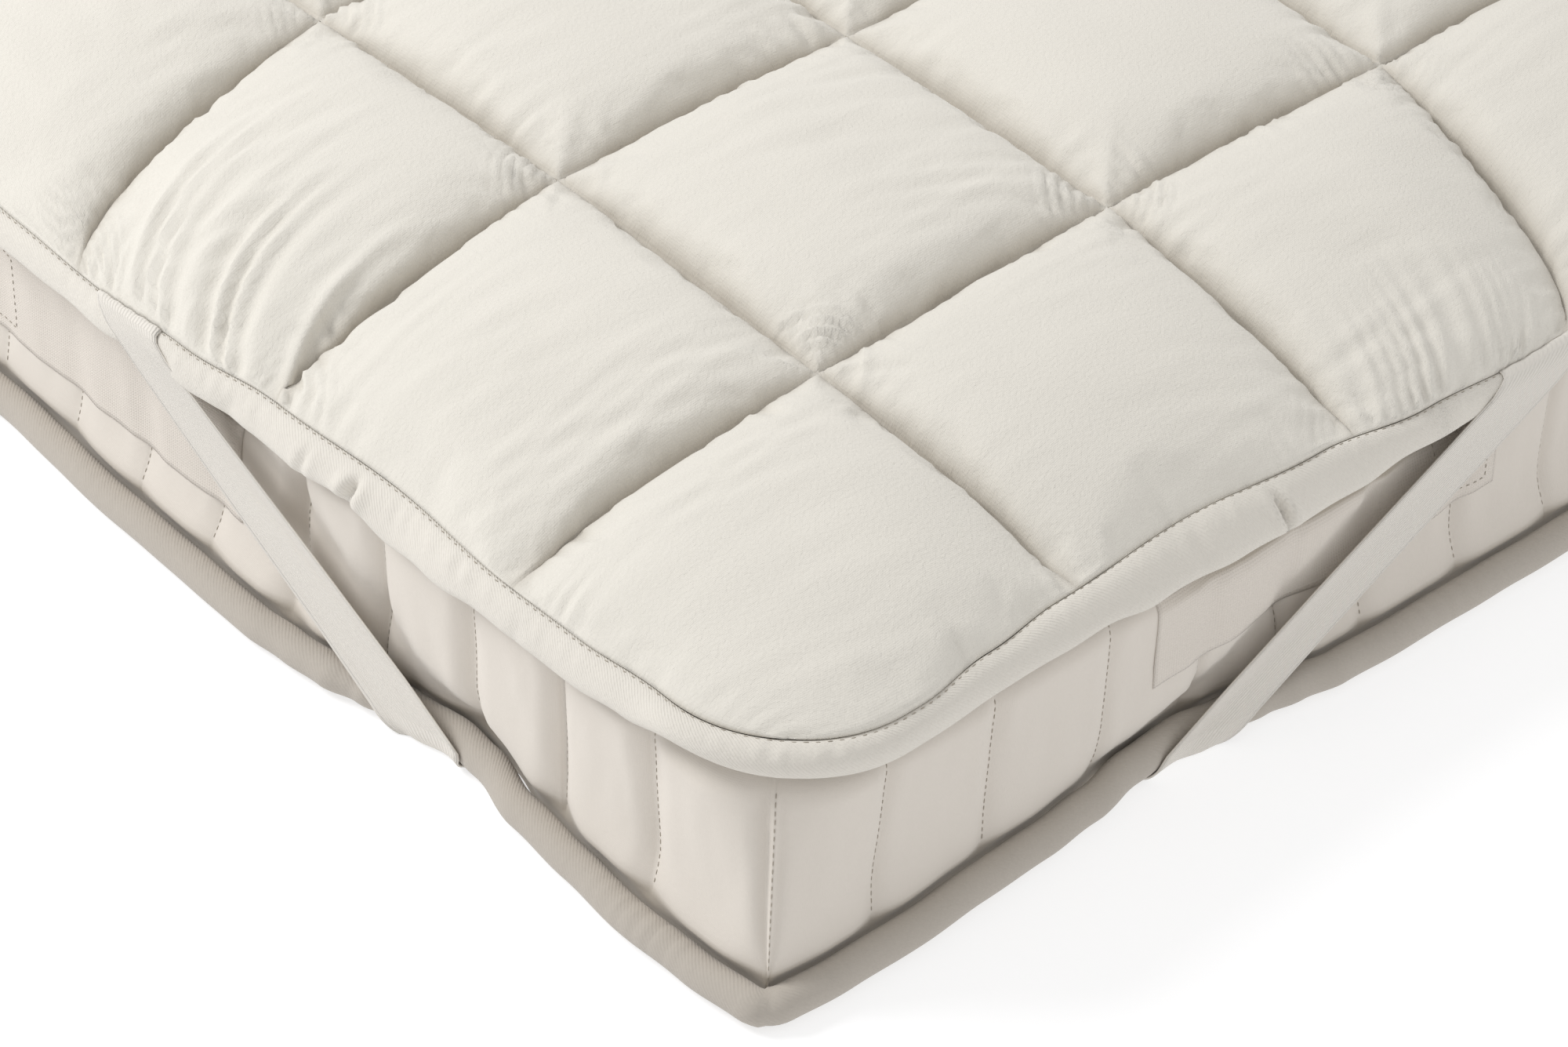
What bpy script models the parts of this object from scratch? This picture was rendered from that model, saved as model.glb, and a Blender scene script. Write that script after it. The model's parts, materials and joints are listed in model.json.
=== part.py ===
"""Quilted mattress pad strapped over a plain double mattress, in metres, +Z up.

The origin is on the floor under the middle of the mattress.
X runs across the bed and Y along it.
"""
import math

import bmesh
import bpy
import numpy as np

# Bed size and the grid of quilted cells
WIDTH = 1.60
LENGTH = 2.00
CELLS_ACROSS = 7
CELLS_ALONG = 9
CELL_WIDTH = WIDTH / CELLS_ACROSS
CELL_LENGTH = LENGTH / CELLS_ALONG
CORNER_REACH = 0.20          # a rounded corner shifts the cloth this far along each side
GAP = 0.0004                 # between pieces that touch

# Heights above the floor
MATTRESS_TOP = 0.1415
SEAM_HEIGHT = 0.158          # where the quilted top is sewn to its binding
STITCH_HEIGHT = 0.197        # quilting lines away from the edge
CROWN = 0.023                # rise of a cell above its quilting lines

# Quilted pad
INNER_CELL = (0.0, 0.10, 0.35, 0.65, 0.90)
OUTER_CELL = (0.0, 0.10, 0.22, 0.35, 0.50, 0.65, 0.90)
PUFF_POWER = 0.55            # below 1 makes steep valleys with a broad crown
FALL_POWER = 1.6             # how the quilting lines fall to the edge of the pad
DROP_POWER = 3               # how the strap's drop of the seam fades inward
SEAM_RADIUS = 0.089
UNDERSIDE_STEP = 0.020       # from the lowest point of the rim to the flat underside
RIM_GAP = 0.0018             # between the rim and the binding, whose long facets twist a little

# Binding, a soft roll that hangs over the edge of the mattress
FOOT_INSET = 0.003
FOOT_HEIGHT = 0.134
BINDING_THICKNESS = 0.0196
LEAST_LEAN = 0.004
BINDING_SAG = {"long": 1.5, "short": 0.2}   # foot's drop for each metre that the seam drops
ROLL_SIDES = 8
ROLL_OUTER, ROLL_SHOULDER, ROLL_TOP, ROLL_BACK, ROLL_INNER = range(5)   # points of its section
UNDERSIDE = ROLL_SIDES       # the loop of the quilted pad that lies on the mattress

# Seam of the pad, by distance from the corner: how far it is drawn in on the long and the
# short sides, how far a strap pulls it down, and how far it pulls the cloth to the corner
SEAM_ROWS = (
    # distance, long, short, drop, pull
    (0.00, 0.0130, 0.0060, 0.000, 0.000),
    (0.10, 0.0125, 0.0070, 0.000, 0.002),
    (0.16, 0.0075, 0.0145, 0.000, 0.005),
    (0.22, 0.0065, 0.0205, 0.000, 0.008),
    (0.32, 0.0125, 0.0260, 0.000, 0.013),
    (0.42, 0.0085, 0.0180, 0.001, 0.019),
    (0.50, 0.0025, 0.0095, 0.005, 0.035),
    (0.58, 0.0000, 0.0065, 0.008, 0.056),
    (0.66, 0.0005, 0.0070, 0.006, 0.070),
    (0.76, 0.0040, 0.0080, 0.002, 0.045),
    (1.00, 0.0080, 0.0100, 0.000, 0.000),
)
SEAM_LONG, SEAM_SHORT, SEAM_DROP, SEAM_PULL = 1, 2, 3, 4
PULL_FADE = 0.12             # the pull dies away this near the middle of a side
PULL_EDGE_SHARE = 0.4        # of the pull that dies away close to the seam
PULL_EDGE_REACH = 0.15       # in cells

# Piping round the foot of the mattress, by distance from the corner: how far its outer side
# stands inside the nominal edge, negative where it bulges out
PIPING_RADIUS = 0.0108
PIPING_HEIGHT = 0.0105
PIPING_CORNER = 0.0125
PIPING_ROWS = {
    # distance, inset
    "long": (
        (0.00, -0.0100),
        (0.10, -0.0130),
        (0.19, -0.0100),
        (0.25, 0.0000),
        (0.34, 0.0000),
        (0.42, -0.0195),
        (0.52, -0.0215),
        (0.70, -0.0150),
        (1.00, -0.0120),
    ),
    "short": (
        (0.00, -0.0080),
        (0.10, -0.0125),
        (0.20, -0.0080),
        (0.27, 0.0000),
        (0.38, 0.0000),
        (0.46, -0.0155),
        (0.60, -0.0205),
        (0.80, -0.0150),
    ),
}
PIPING_STEPS = 3             # places of the piping for each row of its table
PIPING_FLAT = -0.1           # below this share of its radius it lies flat on the floor

# Mattress: upright padded channels between two sewn edges
CHANNELS_SHORT = 21
CHANNELS_LONG = 26
CHANNEL_DEPTH = 0.004
CHANNEL = (0.0, 0.25, 0.75)
CORNER_CHANNEL = (0.0, 0.20, 0.40, 0.60, 0.85)
BODY_ROWS = (
    # height, inset, added to the piping's own inset, share of the channel depth, radius
    (0.0000, 0.0165, True, 0.3, 0.012),
    (0.0145, 0.0150, True, 0.3, 0.012),
    (0.0235, 0.0070, True, 0.7, 0.012),
    (0.0450, 0.0072, False, 1.0, 0.026),
    (0.1200, 0.0090, False, 1.0, 0.075),
    (0.1345, 0.0190, False, 0.6, 0.075),
    (MATTRESS_TOP, 0.0450, False, 0.0, 0.075),
)

# Elastic straps, one round each corner
STRAP_THICKNESS = 0.0014
STRAP_TOP = {"long": 0.5375, "short": 0.5750}
STRAP_FOOT = {"long": 0.290, "short": 0.325}
STRAP_TOP_HALF = 0.0305
STRAP_FOOT_HALF = 0.028
STRAP_TOP_SHARE = 0.2        # of the binding's top facet left free beside the seam
STRAP_GAP = 0.0006           # to the binding under it
STRAP_TUCK = 0.0016          # from the outer side of the piping to the fold under it
STRAP_LEG_STEPS = 4
STRAP_UNDER_STEPS = 4
RECESS_HEIGHT = 0.0018       # pressed into the foot of the mattress where a strap passes
RECESS_WIDTH = 0.046
RECESS_LENGTH = 0.60

# Carrying handles, flat woven strips sewn down at both ends
HANDLE_LENGTH = 0.28
HANDLE_THICKNESS = 0.002
HANDLE_BOW = 0.003
HANDLE_STEPS = 10
HANDLE_PLACES = {
    # side: middle from the corner, height of the lower and the upper edge
    "long": (0.598, 0.049, 0.117),
    "short": (0.429, 0.066, 0.130),
}

CORNERS = ((-1, -1), (1, -1), (1, 1), (-1, 1))

SMOOTH_ANGLE = math.radians(40)
FINISHES = {
    # cloth: colour, roughness
    "brushed_cotton": ((0.80, 0.77, 0.70, 1.0), 0.95),
    "binding_twill": ((0.74, 0.70, 0.63, 1.0), 0.90),
    "strap_elastic": ((0.73, 0.71, 0.66, 1.0), 0.85),
    "mattress_sateen": ((0.75, 0.69, 0.62, 1.0), 0.85),
    "piping_twill": ((0.64, 0.59, 0.52, 1.0), 0.90),
    "handle_canvas": ((0.71, 0.66, 0.60, 1.0), 0.90),
}


def smooth_value(rows, column, distance):
    """Value of a table's column at a distance, eased between its rows."""
    distance = min(max(distance, rows[0][0]), rows[-1][0])
    for low, high in zip(rows, rows[1:]):
        if distance <= high[0]:
            share = (distance - low[0]) / (high[0] - low[0])
            ease = 0.5 - 0.5 * math.cos(math.pi * share)
            return low[column] + (high[column] - low[column]) * ease
    return rows[-1][column]


def round_corner(x, y, radius):
    """Move a point, given by its distances from two sides, off their square corner."""
    depth = min(x, y)
    along = abs(x - y)
    if along >= CORNER_REACH or depth >= CORNER_REACH:
        return x, y
    bend = radius * (1.0 - depth / CORNER_REACH)
    half_arc = bend * math.pi / 4
    travel = along / CORNER_REACH * (CORNER_REACH - bend + half_arc)
    if travel < half_arc:
        angle = math.pi / 4 + travel / bend
        far = depth + bend - bend * math.cos(angle)
        near = depth + bend - bend * math.sin(angle)
    else:
        far = depth + bend + travel - half_arc
        near = depth
    return (far, near) if x >= y else (near, far)


def inside_distance(x, y, radius):
    """Distance of a point from the rounded outline of the bed."""
    if x < radius and y < radius:
        return radius - math.hypot(radius - x, radius - y)
    return min(x, y)


def strap_pull(distance, half_side, depth):
    """Shift of the cloth toward the corner at a distance along a side and a depth in cells."""
    if depth >= 1.0:
        return 0.0
    edge = PULL_EDGE_SHARE * (1.0 - math.exp(-depth / PULL_EDGE_REACH))
    decay = (1.0 - depth) * (1.0 - edge)
    fade = min(1.0, (half_side - distance) / PULL_FADE)
    return smooth_value(SEAM_ROWS, SEAM_PULL, distance) * fade * decay


def quilt_point(u, v):
    """Point of the quilted top at a place counted in cells from the pad's first corner."""
    side_x = -1 if u < CELLS_ACROSS / 2 else 1
    side_y = -1 if v < CELLS_ALONG / 2 else 1
    edge_u = min(u, CELLS_ACROSS - u)
    edge_v = min(v, CELLS_ALONG - v)
    x = edge_u * CELL_WIDTH
    y = edge_v * CELL_LENGTH
    pulled_x = x - strap_pull(x, WIDTH / 2, edge_v)
    pulled_y = y - strap_pull(y, LENGTH / 2, edge_u)
    x, y = round_corner(pulled_x, pulled_y, SEAM_RADIUS)
    near_u = max(0.0, 1.0 - edge_u)
    near_v = max(0.0, 1.0 - edge_v)
    drawn_x = x + smooth_value(SEAM_ROWS, SEAM_LONG, y) * near_u
    drawn_y = y + smooth_value(SEAM_ROWS, SEAM_SHORT, x) * near_v
    level = (1.0 - near_u ** FALL_POWER) * (1.0 - near_v ** FALL_POWER)
    puff = abs(math.sin(math.pi * u) * math.sin(math.pi * v)) ** PUFF_POWER
    drop = smooth_value(SEAM_ROWS, SEAM_DROP, y) * near_u ** DROP_POWER
    drop += smooth_value(SEAM_ROWS, SEAM_DROP, x) * near_v ** DROP_POWER
    height = SEAM_HEIGHT + (STITCH_HEIGHT - SEAM_HEIGHT) * level + CROWN * puff - drop
    return side_x * (WIDTH / 2 - drawn_x), side_y * (LENGTH / 2 - drawn_y), height


def cell_stops(count):
    """Places of the grid lines over a row of cells, closer beside each quilting line."""
    stops = []
    for cell in range(count):
        outer = cell in (0, count - 1)
        shares = OUTER_CELL if outer else INNER_CELL
        if cell == count - 1:
            shares = (0.0,) + tuple(1.0 - share for share in reversed(OUTER_CELL[1:]))
        stops += [cell + share for share in shares]
    return stops + [count]


def outward_normals(points):
    """Level normals of a closed outline that runs anticlockwise."""
    normals = []
    for index, _ in enumerate(points):
        before = points[index - 1]
        after = points[(index + 1) % len(points)]
        step_x = after[0] - before[0]
        step_y = after[1] - before[1]
        size = math.hypot(step_x, step_y)
        normals.append((step_y / size, -step_x / size))
    return normals


def seam_places(columns, rows):
    """Grid places round the rim of the quilted top, anticlockwise from its first corner."""
    last_column = len(columns) - 1
    last_row = len(rows) - 1
    south = [(column, 0) for column in range(last_column)]
    east = [(last_column, row) for row in range(last_row)]
    north = [(column, last_row) for column in range(last_column, 0, -1)]
    west = [(0, row) for row in range(last_row, 0, -1)]
    return south + east + north + west


def binding_sections(columns, rows):
    """Centre, outward normal, lean and half sizes of the binding at each place on the seam."""
    seam = [quilt_point(columns[i], rows[j]) for i, j in seam_places(columns, rows)]
    sections = []
    for point, normal in zip(seam, outward_normals(seam)):
        x = WIDTH / 2 - abs(point[0])
        y = LENGTH / 2 - abs(point[1])
        lean = inside_distance(x - FOOT_INSET, y - FOOT_INSET, SEAM_RADIUS)
        lean = max(lean, LEAST_LEAN)
        sag = BINDING_SAG["long" if x < y else "short"]
        foot = FOOT_HEIGHT - sag * (SEAM_HEIGHT - point[2])
        rise = point[2] - foot
        sections.append({
            "centre": (point[0] + normal[0] * lean / 2, point[1] + normal[1] * lean / 2,
                       (point[2] + foot) / 2),
            "normal": normal,
            "half_height": math.hypot(lean, rise) / 2,
            "tilt": math.atan2(rise, lean),
        })
    return sections


def roll_point(section, side, clearance):
    """Point of the binding's section, or one that clears it on the same side."""
    angle = 2 * math.pi * side / ROLL_SIDES
    thick = (BINDING_THICKNESS / 2 + clearance) * math.cos(angle)
    tall = (section["half_height"] + clearance) * math.sin(angle)
    tilt = section["tilt"]
    outward = thick * math.sin(tilt) - tall * math.cos(tilt)
    upward = thick * math.cos(tilt) + tall * math.sin(tilt)
    centre = section["centre"]
    normal = section["normal"]
    return (centre[0] + normal[0] * outward, centre[1] + normal[1] * outward,
            centre[2] + upward)


def piping_stops(side):
    """Distances from a corner to the piping's places, up to the middle of the side."""
    stops = []
    for low, high in zip(PIPING_ROWS[side], PIPING_ROWS[side][1:]):
        reach = high[0] - low[0]
        stops += [low[0] + reach * step / PIPING_STEPS for step in range(1, PIPING_STEPS + 1)]
    return stops


def piping_inset(side, distance):
    """Inset of the piping's centre line, straight between its places."""
    stops = [0.0] + piping_stops(side)
    values = [smooth_value(PIPING_ROWS[side], 1, stop) for stop in stops]
    return float(np.interp(distance, stops, values)) + PIPING_RADIUS


def outline_places(short_stops, long_stops):
    """Places round the bed, anticlockwise from its first corner."""
    places = []
    for turn in (1, -1):
        for side, size, stops in (("short", WIDTH, short_stops), ("long", LENGTH, long_stops)):
            for stop in stops:
                places.append({
                    "side": side,
                    "turn": turn,
                    "end": -1 if stop < size / 2 else 1,
                    "distance": min(stop, size - stop),
                })
    return places


def outline_point(place, radius):
    """Point of the bed's rounded outline at one of the outline's places."""
    turn, end = place["turn"], place["end"]
    if place["side"] == "short":
        x, y = round_corner(place["distance"], 0.0, radius)
        return turn * end * (WIDTH / 2 - x), -turn * (LENGTH / 2 - y)
    x, y = round_corner(0.0, place["distance"], radius)
    return turn * (WIDTH / 2 - x), turn * end * (LENGTH / 2 - y)


def side_point(corner, side, distance, inset, height):
    """Point at a distance from a corner along one of its two sides."""
    if side == "long":
        x, y = inset, distance
    else:
        x, y = distance, inset
    return corner[0] * (WIDTH / 2 - x), corner[1] * (LENGTH / 2 - y), height


def clear_scene():
    for item in list(bpy.data.objects):
        bpy.data.objects.remove(item, do_unlink=True)


def make_material(name):
    colour, roughness = FINISHES[name]
    material = bpy.data.materials.new(name)
    material.use_nodes = True
    shader = material.node_tree.nodes["Principled BSDF"]
    shader.inputs["Base Color"].default_value = colour
    shader.inputs["Roughness"].default_value = roughness
    shader.inputs["Metallic"].default_value = 0.0
    return material


def add_object(name, mesh_or_bmesh, material, holder):
    """Wrap a shape in a named object of the part's collection."""
    if isinstance(mesh_or_bmesh, bmesh.types.BMesh):
        mesh = bpy.data.meshes.new(name)
        bmesh.ops.recalc_face_normals(mesh_or_bmesh, faces=mesh_or_bmesh.faces)
        mesh_or_bmesh.to_mesh(mesh)
        mesh_or_bmesh.free()
    else:
        mesh = mesh_or_bmesh
    item = bpy.data.objects.new(name, mesh)
    mesh.materials.clear()
    mesh.materials.append(material)
    mesh.shade_smooth()
    mesh.set_sharp_from_angle(angle=SMOOTH_ANGLE)
    holder["collection"].objects.link(item)
    item.parent = holder["empty"]
    return item


def build_quilt(columns, rows, sections, material, holder):
    """Filled pad: quilted top, a rim that follows the binding and a flat underside."""
    shape = bmesh.new()
    station = shape.verts.layers.int.new("station")
    last_column = len(columns) - 1
    last_row = len(rows) - 1
    bmesh.ops.create_grid(shape, x_segments=last_column, y_segments=last_row, size=1.0)
    order = {place: index for index, place in enumerate(seam_places(columns, rows))}
    for vert in shape.verts:
        column = round((vert.co.x + 1) / 2 * last_column)
        row = round((vert.co.y + 1) / 2 * last_row)
        vert.co = quilt_point(columns[column], rows[row])
        if (column, row) in order:
            vert[station] = order[column, row]
            vert.co = roll_point(sections[order[column, row]], ROLL_TOP, RIM_GAP)
    rim = [edge for edge in shape.edges if edge.is_boundary]
    for side in (ROLL_BACK, ROLL_INNER, UNDERSIDE):
        grown = bmesh.ops.extrude_edge_only(shape, edges=rim)["geom"]
        rim = [item for item in grown if isinstance(item, bmesh.types.BMEdge)]
        for vert in (item for item in grown if isinstance(item, bmesh.types.BMVert)):
            section = sections[vert[station]]
            if side == UNDERSIDE:
                vert.co.x -= section["normal"][0] * UNDERSIDE_STEP
                vert.co.y -= section["normal"][1] * UNDERSIDE_STEP
                vert.co.z = MATTRESS_TOP + GAP
            else:
                vert.co = roll_point(section, side, RIM_GAP)
    bmesh.ops.edgeloop_fill(shape, edges=rim)
    return add_object("pad_quilt", shape, material, holder)


def ring_mesh(name, count, place_vertex):
    """Closed tube from a torus whose vertices are placed by ring and side number."""
    bpy.ops.mesh.primitive_torus_add(major_segments=count, minor_segments=ROLL_SIDES)
    ring = bpy.context.object
    mesh = ring.data
    bpy.data.objects.remove(ring, do_unlink=True)
    mesh.name = name
    for index, vert in enumerate(mesh.vertices):
        vert.co = place_vertex(index // ROLL_SIDES, index % ROLL_SIDES)
    return mesh


def build_binding(sections, material, holder):
    mesh = ring_mesh("pad_binding", len(sections),
                     lambda place, side: roll_point(sections[place], side, 0.0))
    return add_object("pad_binding", mesh, material, holder)


def mirrored_stops(stops, size):
    """Stops over a whole side, from those up to its middle."""
    return [0.0] + list(stops) + [size - stop for stop in reversed(stops[:-1])]


def build_piping(material, holder):
    """Roll round the foot of the mattress, pressed flat where it lies on the floor."""
    arc = PIPING_CORNER * math.pi / 4
    short_stops = mirrored_stops([arc] + piping_stops("short"), WIDTH)
    long_stops = mirrored_stops([arc] + piping_stops("long"), LENGTH)
    places = outline_places(short_stops, long_stops)
    outline = [outline_point(place, PIPING_CORNER) for place in places]
    normals = outward_normals(outline)
    centres = []
    for place, point, normal in zip(places, outline, normals):
        inset = piping_inset(place["side"], place["distance"])
        centres.append((point[0] - normal[0] * inset, point[1] - normal[1] * inset))

    def place_vertex(index, side):
        angle = 2 * math.pi * side / ROLL_SIDES
        outward = PIPING_RADIUS * math.cos(angle)
        height = PIPING_HEIGHT + PIPING_RADIUS * math.sin(angle)
        if math.sin(angle) < PIPING_FLAT:
            height = 0.0
        centre = centres[index]
        normal = normals[index]
        return centre[0] + normal[0] * outward, centre[1] + normal[1] * outward, height

    mesh = ring_mesh("mattress_piping", len(places), place_vertex)
    return add_object("mattress_piping", mesh, material, holder)


def channel_stops(size, count):
    """Places over a side with upright channels, more of them beside its two corners."""
    pitch = size / count
    stops = []
    for channel in range(count):
        shares = CHANNEL
        if channel == 0:
            shares = CORNER_CHANNEL
        if channel == count - 1:
            shares = (0.0,) + tuple(1.0 - share for share in reversed(CORNER_CHANNEL[1:]))
        stops += [(channel + share) * pitch for share in shares]
    return stops


def on_channel_seam(side, distance):
    """Whether a place lies on one of the upright seams between the channels."""
    pitch = LENGTH / CHANNELS_LONG if side == "long" else WIDTH / CHANNELS_SHORT
    return abs(distance / pitch - round(distance / pitch)) < 0.01


def build_mattress(material, holder):
    """Mattress body: an outline drawn up row by row through its sewn and padded edges."""
    places = outline_places(channel_stops(WIDTH, CHANNELS_SHORT),
                            channel_stops(LENGTH, CHANNELS_LONG))
    shape = bmesh.new()
    station = shape.verts.layers.int.new("station")
    bmesh.ops.create_circle(shape, segments=len(places), radius=1.0, cap_ends=True)
    shape.verts.ensure_lookup_table()
    for index, vert in enumerate(shape.verts):
        vert[station] = index
    face = shape.faces[:]
    for number, (height, inset, follows, share, radius) in enumerate(BODY_ROWS):
        if number:
            grown = bmesh.ops.extrude_face_region(shape, geom=face)["geom"]
            if number > 1:
                bmesh.ops.delete(shape, geom=face, context="FACES_ONLY")
            face = [item for item in grown if isinstance(item, bmesh.types.BMFace)]
        outline = [outline_point(place, radius) for place in places]
        normals = outward_normals(outline)
        for vert in face[0].verts:
            index = vert[station]
            side, distance = places[index]["side"], places[index]["distance"]
            depth = inset
            if follows:
                depth += piping_inset(side, distance)
            if on_channel_seam(side, distance):
                depth += CHANNEL_DEPTH * share
            vert.co.x = outline[index][0] - normals[index][0] * depth
            vert.co.y = outline[index][1] - normals[index][1] * depth
            vert.co.z = height
    return add_object("mattress_body", shape, material, holder)


def seam_section(sections, corner, side, distance):
    """Inset and height of a strap that lies on the binding at one place along a side."""
    lookup = {}
    for key in (ROLL_TOP, ROLL_SHOULDER, ROLL_OUTER):
        samples = []
        for section in sections:
            x, y, z = roll_point(section, key, STRAP_GAP + STRAP_THICKNESS / 2)
            if x * corner[0] < 0 or y * corner[1] < 0:
                continue
            x = WIDTH / 2 - abs(x)
            y = LENGTH / 2 - abs(y)
            if side == "long" and x < y:
                samples.append((y, x, z))
            if side == "short" and y < x:
                samples.append((x, y, z))
        samples.sort()
        along = [sample[0] for sample in samples]
        lookup[key] = (float(np.interp(distance, along, [sample[1] for sample in samples])),
                       float(np.interp(distance, along, [sample[2] for sample in samples])))
    return lookup


def strap_leg(sections, corner, side, across):
    """Centre-line points of one edge or the middle of a strap, from the seam to the floor."""
    top = STRAP_TOP[side] + across * STRAP_TOP_HALF
    foot = STRAP_FOOT[side] + across * STRAP_FOOT_HALF
    binding = seam_section(sections, corner, side, top)
    top_point, shoulder, outer = (binding[key] for key in (ROLL_TOP, ROLL_SHOULDER, ROLL_OUTER))
    start = tuple(a + (b - a) * STRAP_TOP_SHARE for a, b in zip(top_point, shoulder))
    piping = piping_inset(side, foot) - PIPING_RADIUS
    beside = (piping - GAP - STRAP_THICKNESS / 2, PIPING_HEIGHT)
    under = (piping + STRAP_TUCK, STRAP_THICKNESS / 2)
    profile = [start, shoulder, outer]
    for step in range(1, STRAP_LEG_STEPS):
        share = step / STRAP_LEG_STEPS
        profile.append(tuple(a + (b - a) * share for a, b in zip(outer, beside)))
    profile += [beside, under]
    points = []
    for inset, height in profile:
        distance = foot + (top - foot) * min(1.0, height / outer[1])
        points.append(side_point(corner, side, distance, inset, height))
    return points


def build_strap(number, corner, sections, material, holder):
    """Elastic tape from the seam, down one side, under the corner and up the other side."""
    lines = []
    for across in (-1, 0, 1):
        first = strap_leg(sections, corner, "long", across)
        second = strap_leg(sections, corner, "short", across)
        line = list(first)
        for step in range(1, STRAP_UNDER_STEPS):
            share = step / STRAP_UNDER_STEPS
            line.append(tuple(a + (b - a) * share for a, b in zip(first[-1], second[-1])))
        lines.append(line + list(reversed(second)))
    shape = bmesh.new()
    last = len(lines[0]) - 1
    bmesh.ops.create_grid(shape, x_segments=last, y_segments=2, size=1.0)
    for vert in shape.verts:
        step = round((vert.co.x + 1) / 2 * last)
        vert.co = lines[round(vert.co.y) + 1][step]
    strap = add_object("corner_strap_%d" % number, shape, material, holder)
    add_thickness(strap, STRAP_THICKNESS)
    return strap


def add_thickness(item, thickness):
    solidify = item.modifiers.new("Thickness", "SOLIDIFY")
    solidify.thickness = thickness
    solidify.offset = 0.0


def build_handle(number, corner, side, material, holder):
    """Woven strip on the side of the mattress, its middle standing a little off."""
    middle, low, high = HANDLE_PLACES[side]
    lower_row, upper_row = BODY_ROWS[3:5]       # the face of the channels
    shape = bmesh.new()
    bmesh.ops.create_grid(shape, x_segments=HANDLE_STEPS, y_segments=1, size=1.0)
    for vert in shape.verts:
        height = low if vert.co.y < 0 else high
        share = (height - lower_row[0]) / (upper_row[0] - lower_row[0])
        inset = lower_row[1] + (upper_row[1] - lower_row[1]) * share
        inset -= GAP + HANDLE_THICKNESS / 2 + HANDLE_BOW * math.cos(vert.co.x * math.pi / 2)
        distance = middle + vert.co.x * HANDLE_LENGTH / 2
        vert.co = side_point(corner, side, distance, inset, height)
    handle = add_object("carry_handle_%d" % number, shape, material, holder)
    add_thickness(handle, HANDLE_THICKNESS)
    return handle


def press_recess(corner, items, cutters):
    """Press the strap's run under a corner into the foot of the mattress and its piping."""
    start = side_point(corner, "long", STRAP_FOOT["long"], STRAP_TUCK, 0.0)
    end = side_point(corner, "short", STRAP_FOOT["short"], STRAP_TUCK, 0.0)
    bpy.ops.mesh.primitive_cube_add(size=1.0)
    cutter = bpy.context.object
    cutter.name = "recess_cutter_%d" % (CORNERS.index(corner) + 1)
    cutter.location = ((start[0] + end[0]) / 2, (start[1] + end[1]) / 2, 0.0)
    cutter.rotation_euler.z = math.atan2(end[1] - start[1], end[0] - start[0])
    cutter.scale = (RECESS_LENGTH, RECESS_WIDTH, 2 * RECESS_HEIGHT)
    cutter.hide_render = True
    cutter.display_type = "WIRE"
    for collection in cutter.users_collection:
        collection.objects.unlink(cutter)
    cutters.objects.link(cutter)
    for item in items:
        cut = item.modifiers.new(cutter.name, "BOOLEAN")
        cut.operation = "DIFFERENCE"
        cut.object = cutter


def main():
    clear_scene()
    scene = bpy.context.scene
    holder = {"collection": bpy.data.collections.new("mattress_pad")}
    scene.collection.children.link(holder["collection"])
    cutters = bpy.data.collections.new("cutters")
    scene.collection.children.link(cutters)
    holder["empty"] = bpy.data.objects.new("mattress_pad_frame", None)
    holder["collection"].objects.link(holder["empty"])

    columns = cell_stops(CELLS_ACROSS)
    rows = cell_stops(CELLS_ALONG)
    sections = binding_sections(columns, rows)
    build_quilt(columns, rows, sections, make_material("brushed_cotton"), holder)
    build_binding(sections, make_material("binding_twill"), holder)
    body = build_mattress(make_material("mattress_sateen"), holder)
    piping = build_piping(make_material("piping_twill"), holder)

    elastic = make_material("strap_elastic")
    canvas = make_material("handle_canvas")
    for number, corner in enumerate(CORNERS, start=1):
        build_strap(number, corner, sections, elastic, holder)
        press_recess(corner, (body, piping), cutters)
        build_handle(2 * number - 1, corner, "long", canvas, holder)
        build_handle(2 * number, corner, "short", canvas, holder)


main()
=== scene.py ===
# Quilted mattress pad strapped over a plain mattress: cloth, stitches and studio
import json
import math

import bmesh
import bpy
import numpy as np
from mathutils import Matrix, Vector

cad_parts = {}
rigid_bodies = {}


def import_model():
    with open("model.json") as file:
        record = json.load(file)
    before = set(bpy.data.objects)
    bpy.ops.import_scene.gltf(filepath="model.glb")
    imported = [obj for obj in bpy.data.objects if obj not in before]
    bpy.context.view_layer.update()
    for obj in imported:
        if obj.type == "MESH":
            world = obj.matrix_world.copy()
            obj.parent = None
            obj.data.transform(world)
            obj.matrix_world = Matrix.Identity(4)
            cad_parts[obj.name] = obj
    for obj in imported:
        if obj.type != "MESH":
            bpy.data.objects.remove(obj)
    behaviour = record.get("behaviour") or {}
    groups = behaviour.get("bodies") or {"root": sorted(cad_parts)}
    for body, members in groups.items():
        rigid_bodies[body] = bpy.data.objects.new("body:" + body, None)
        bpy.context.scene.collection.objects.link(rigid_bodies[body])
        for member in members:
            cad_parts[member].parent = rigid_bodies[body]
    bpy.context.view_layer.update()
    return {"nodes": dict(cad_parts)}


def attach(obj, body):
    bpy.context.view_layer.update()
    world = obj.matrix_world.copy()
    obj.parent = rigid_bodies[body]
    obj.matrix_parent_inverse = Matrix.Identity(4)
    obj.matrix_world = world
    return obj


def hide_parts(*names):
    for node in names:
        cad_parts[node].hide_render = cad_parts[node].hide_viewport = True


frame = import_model()
print("frame loaded:", len(frame["nodes"]), "solids")

# Sizes that the pieces share, in metres
bed = {
    "width": 1.60,
    "length": 2.00,
    "cellsAcross": 7,
    "cellsAlong": 9,
    "cornerReach": 0.20,         # a rounded corner shifts the cloth this far along each side
    "mattressTop": 0.1415,
}
cellWidth = bed["width"] / bed["cellsAcross"]
cellLength = bed["length"] / bed["cellsAlong"]
corners = ((-1, -1), (1, -1), (1, 1), (-1, 1))


# Camera and studio

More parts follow.
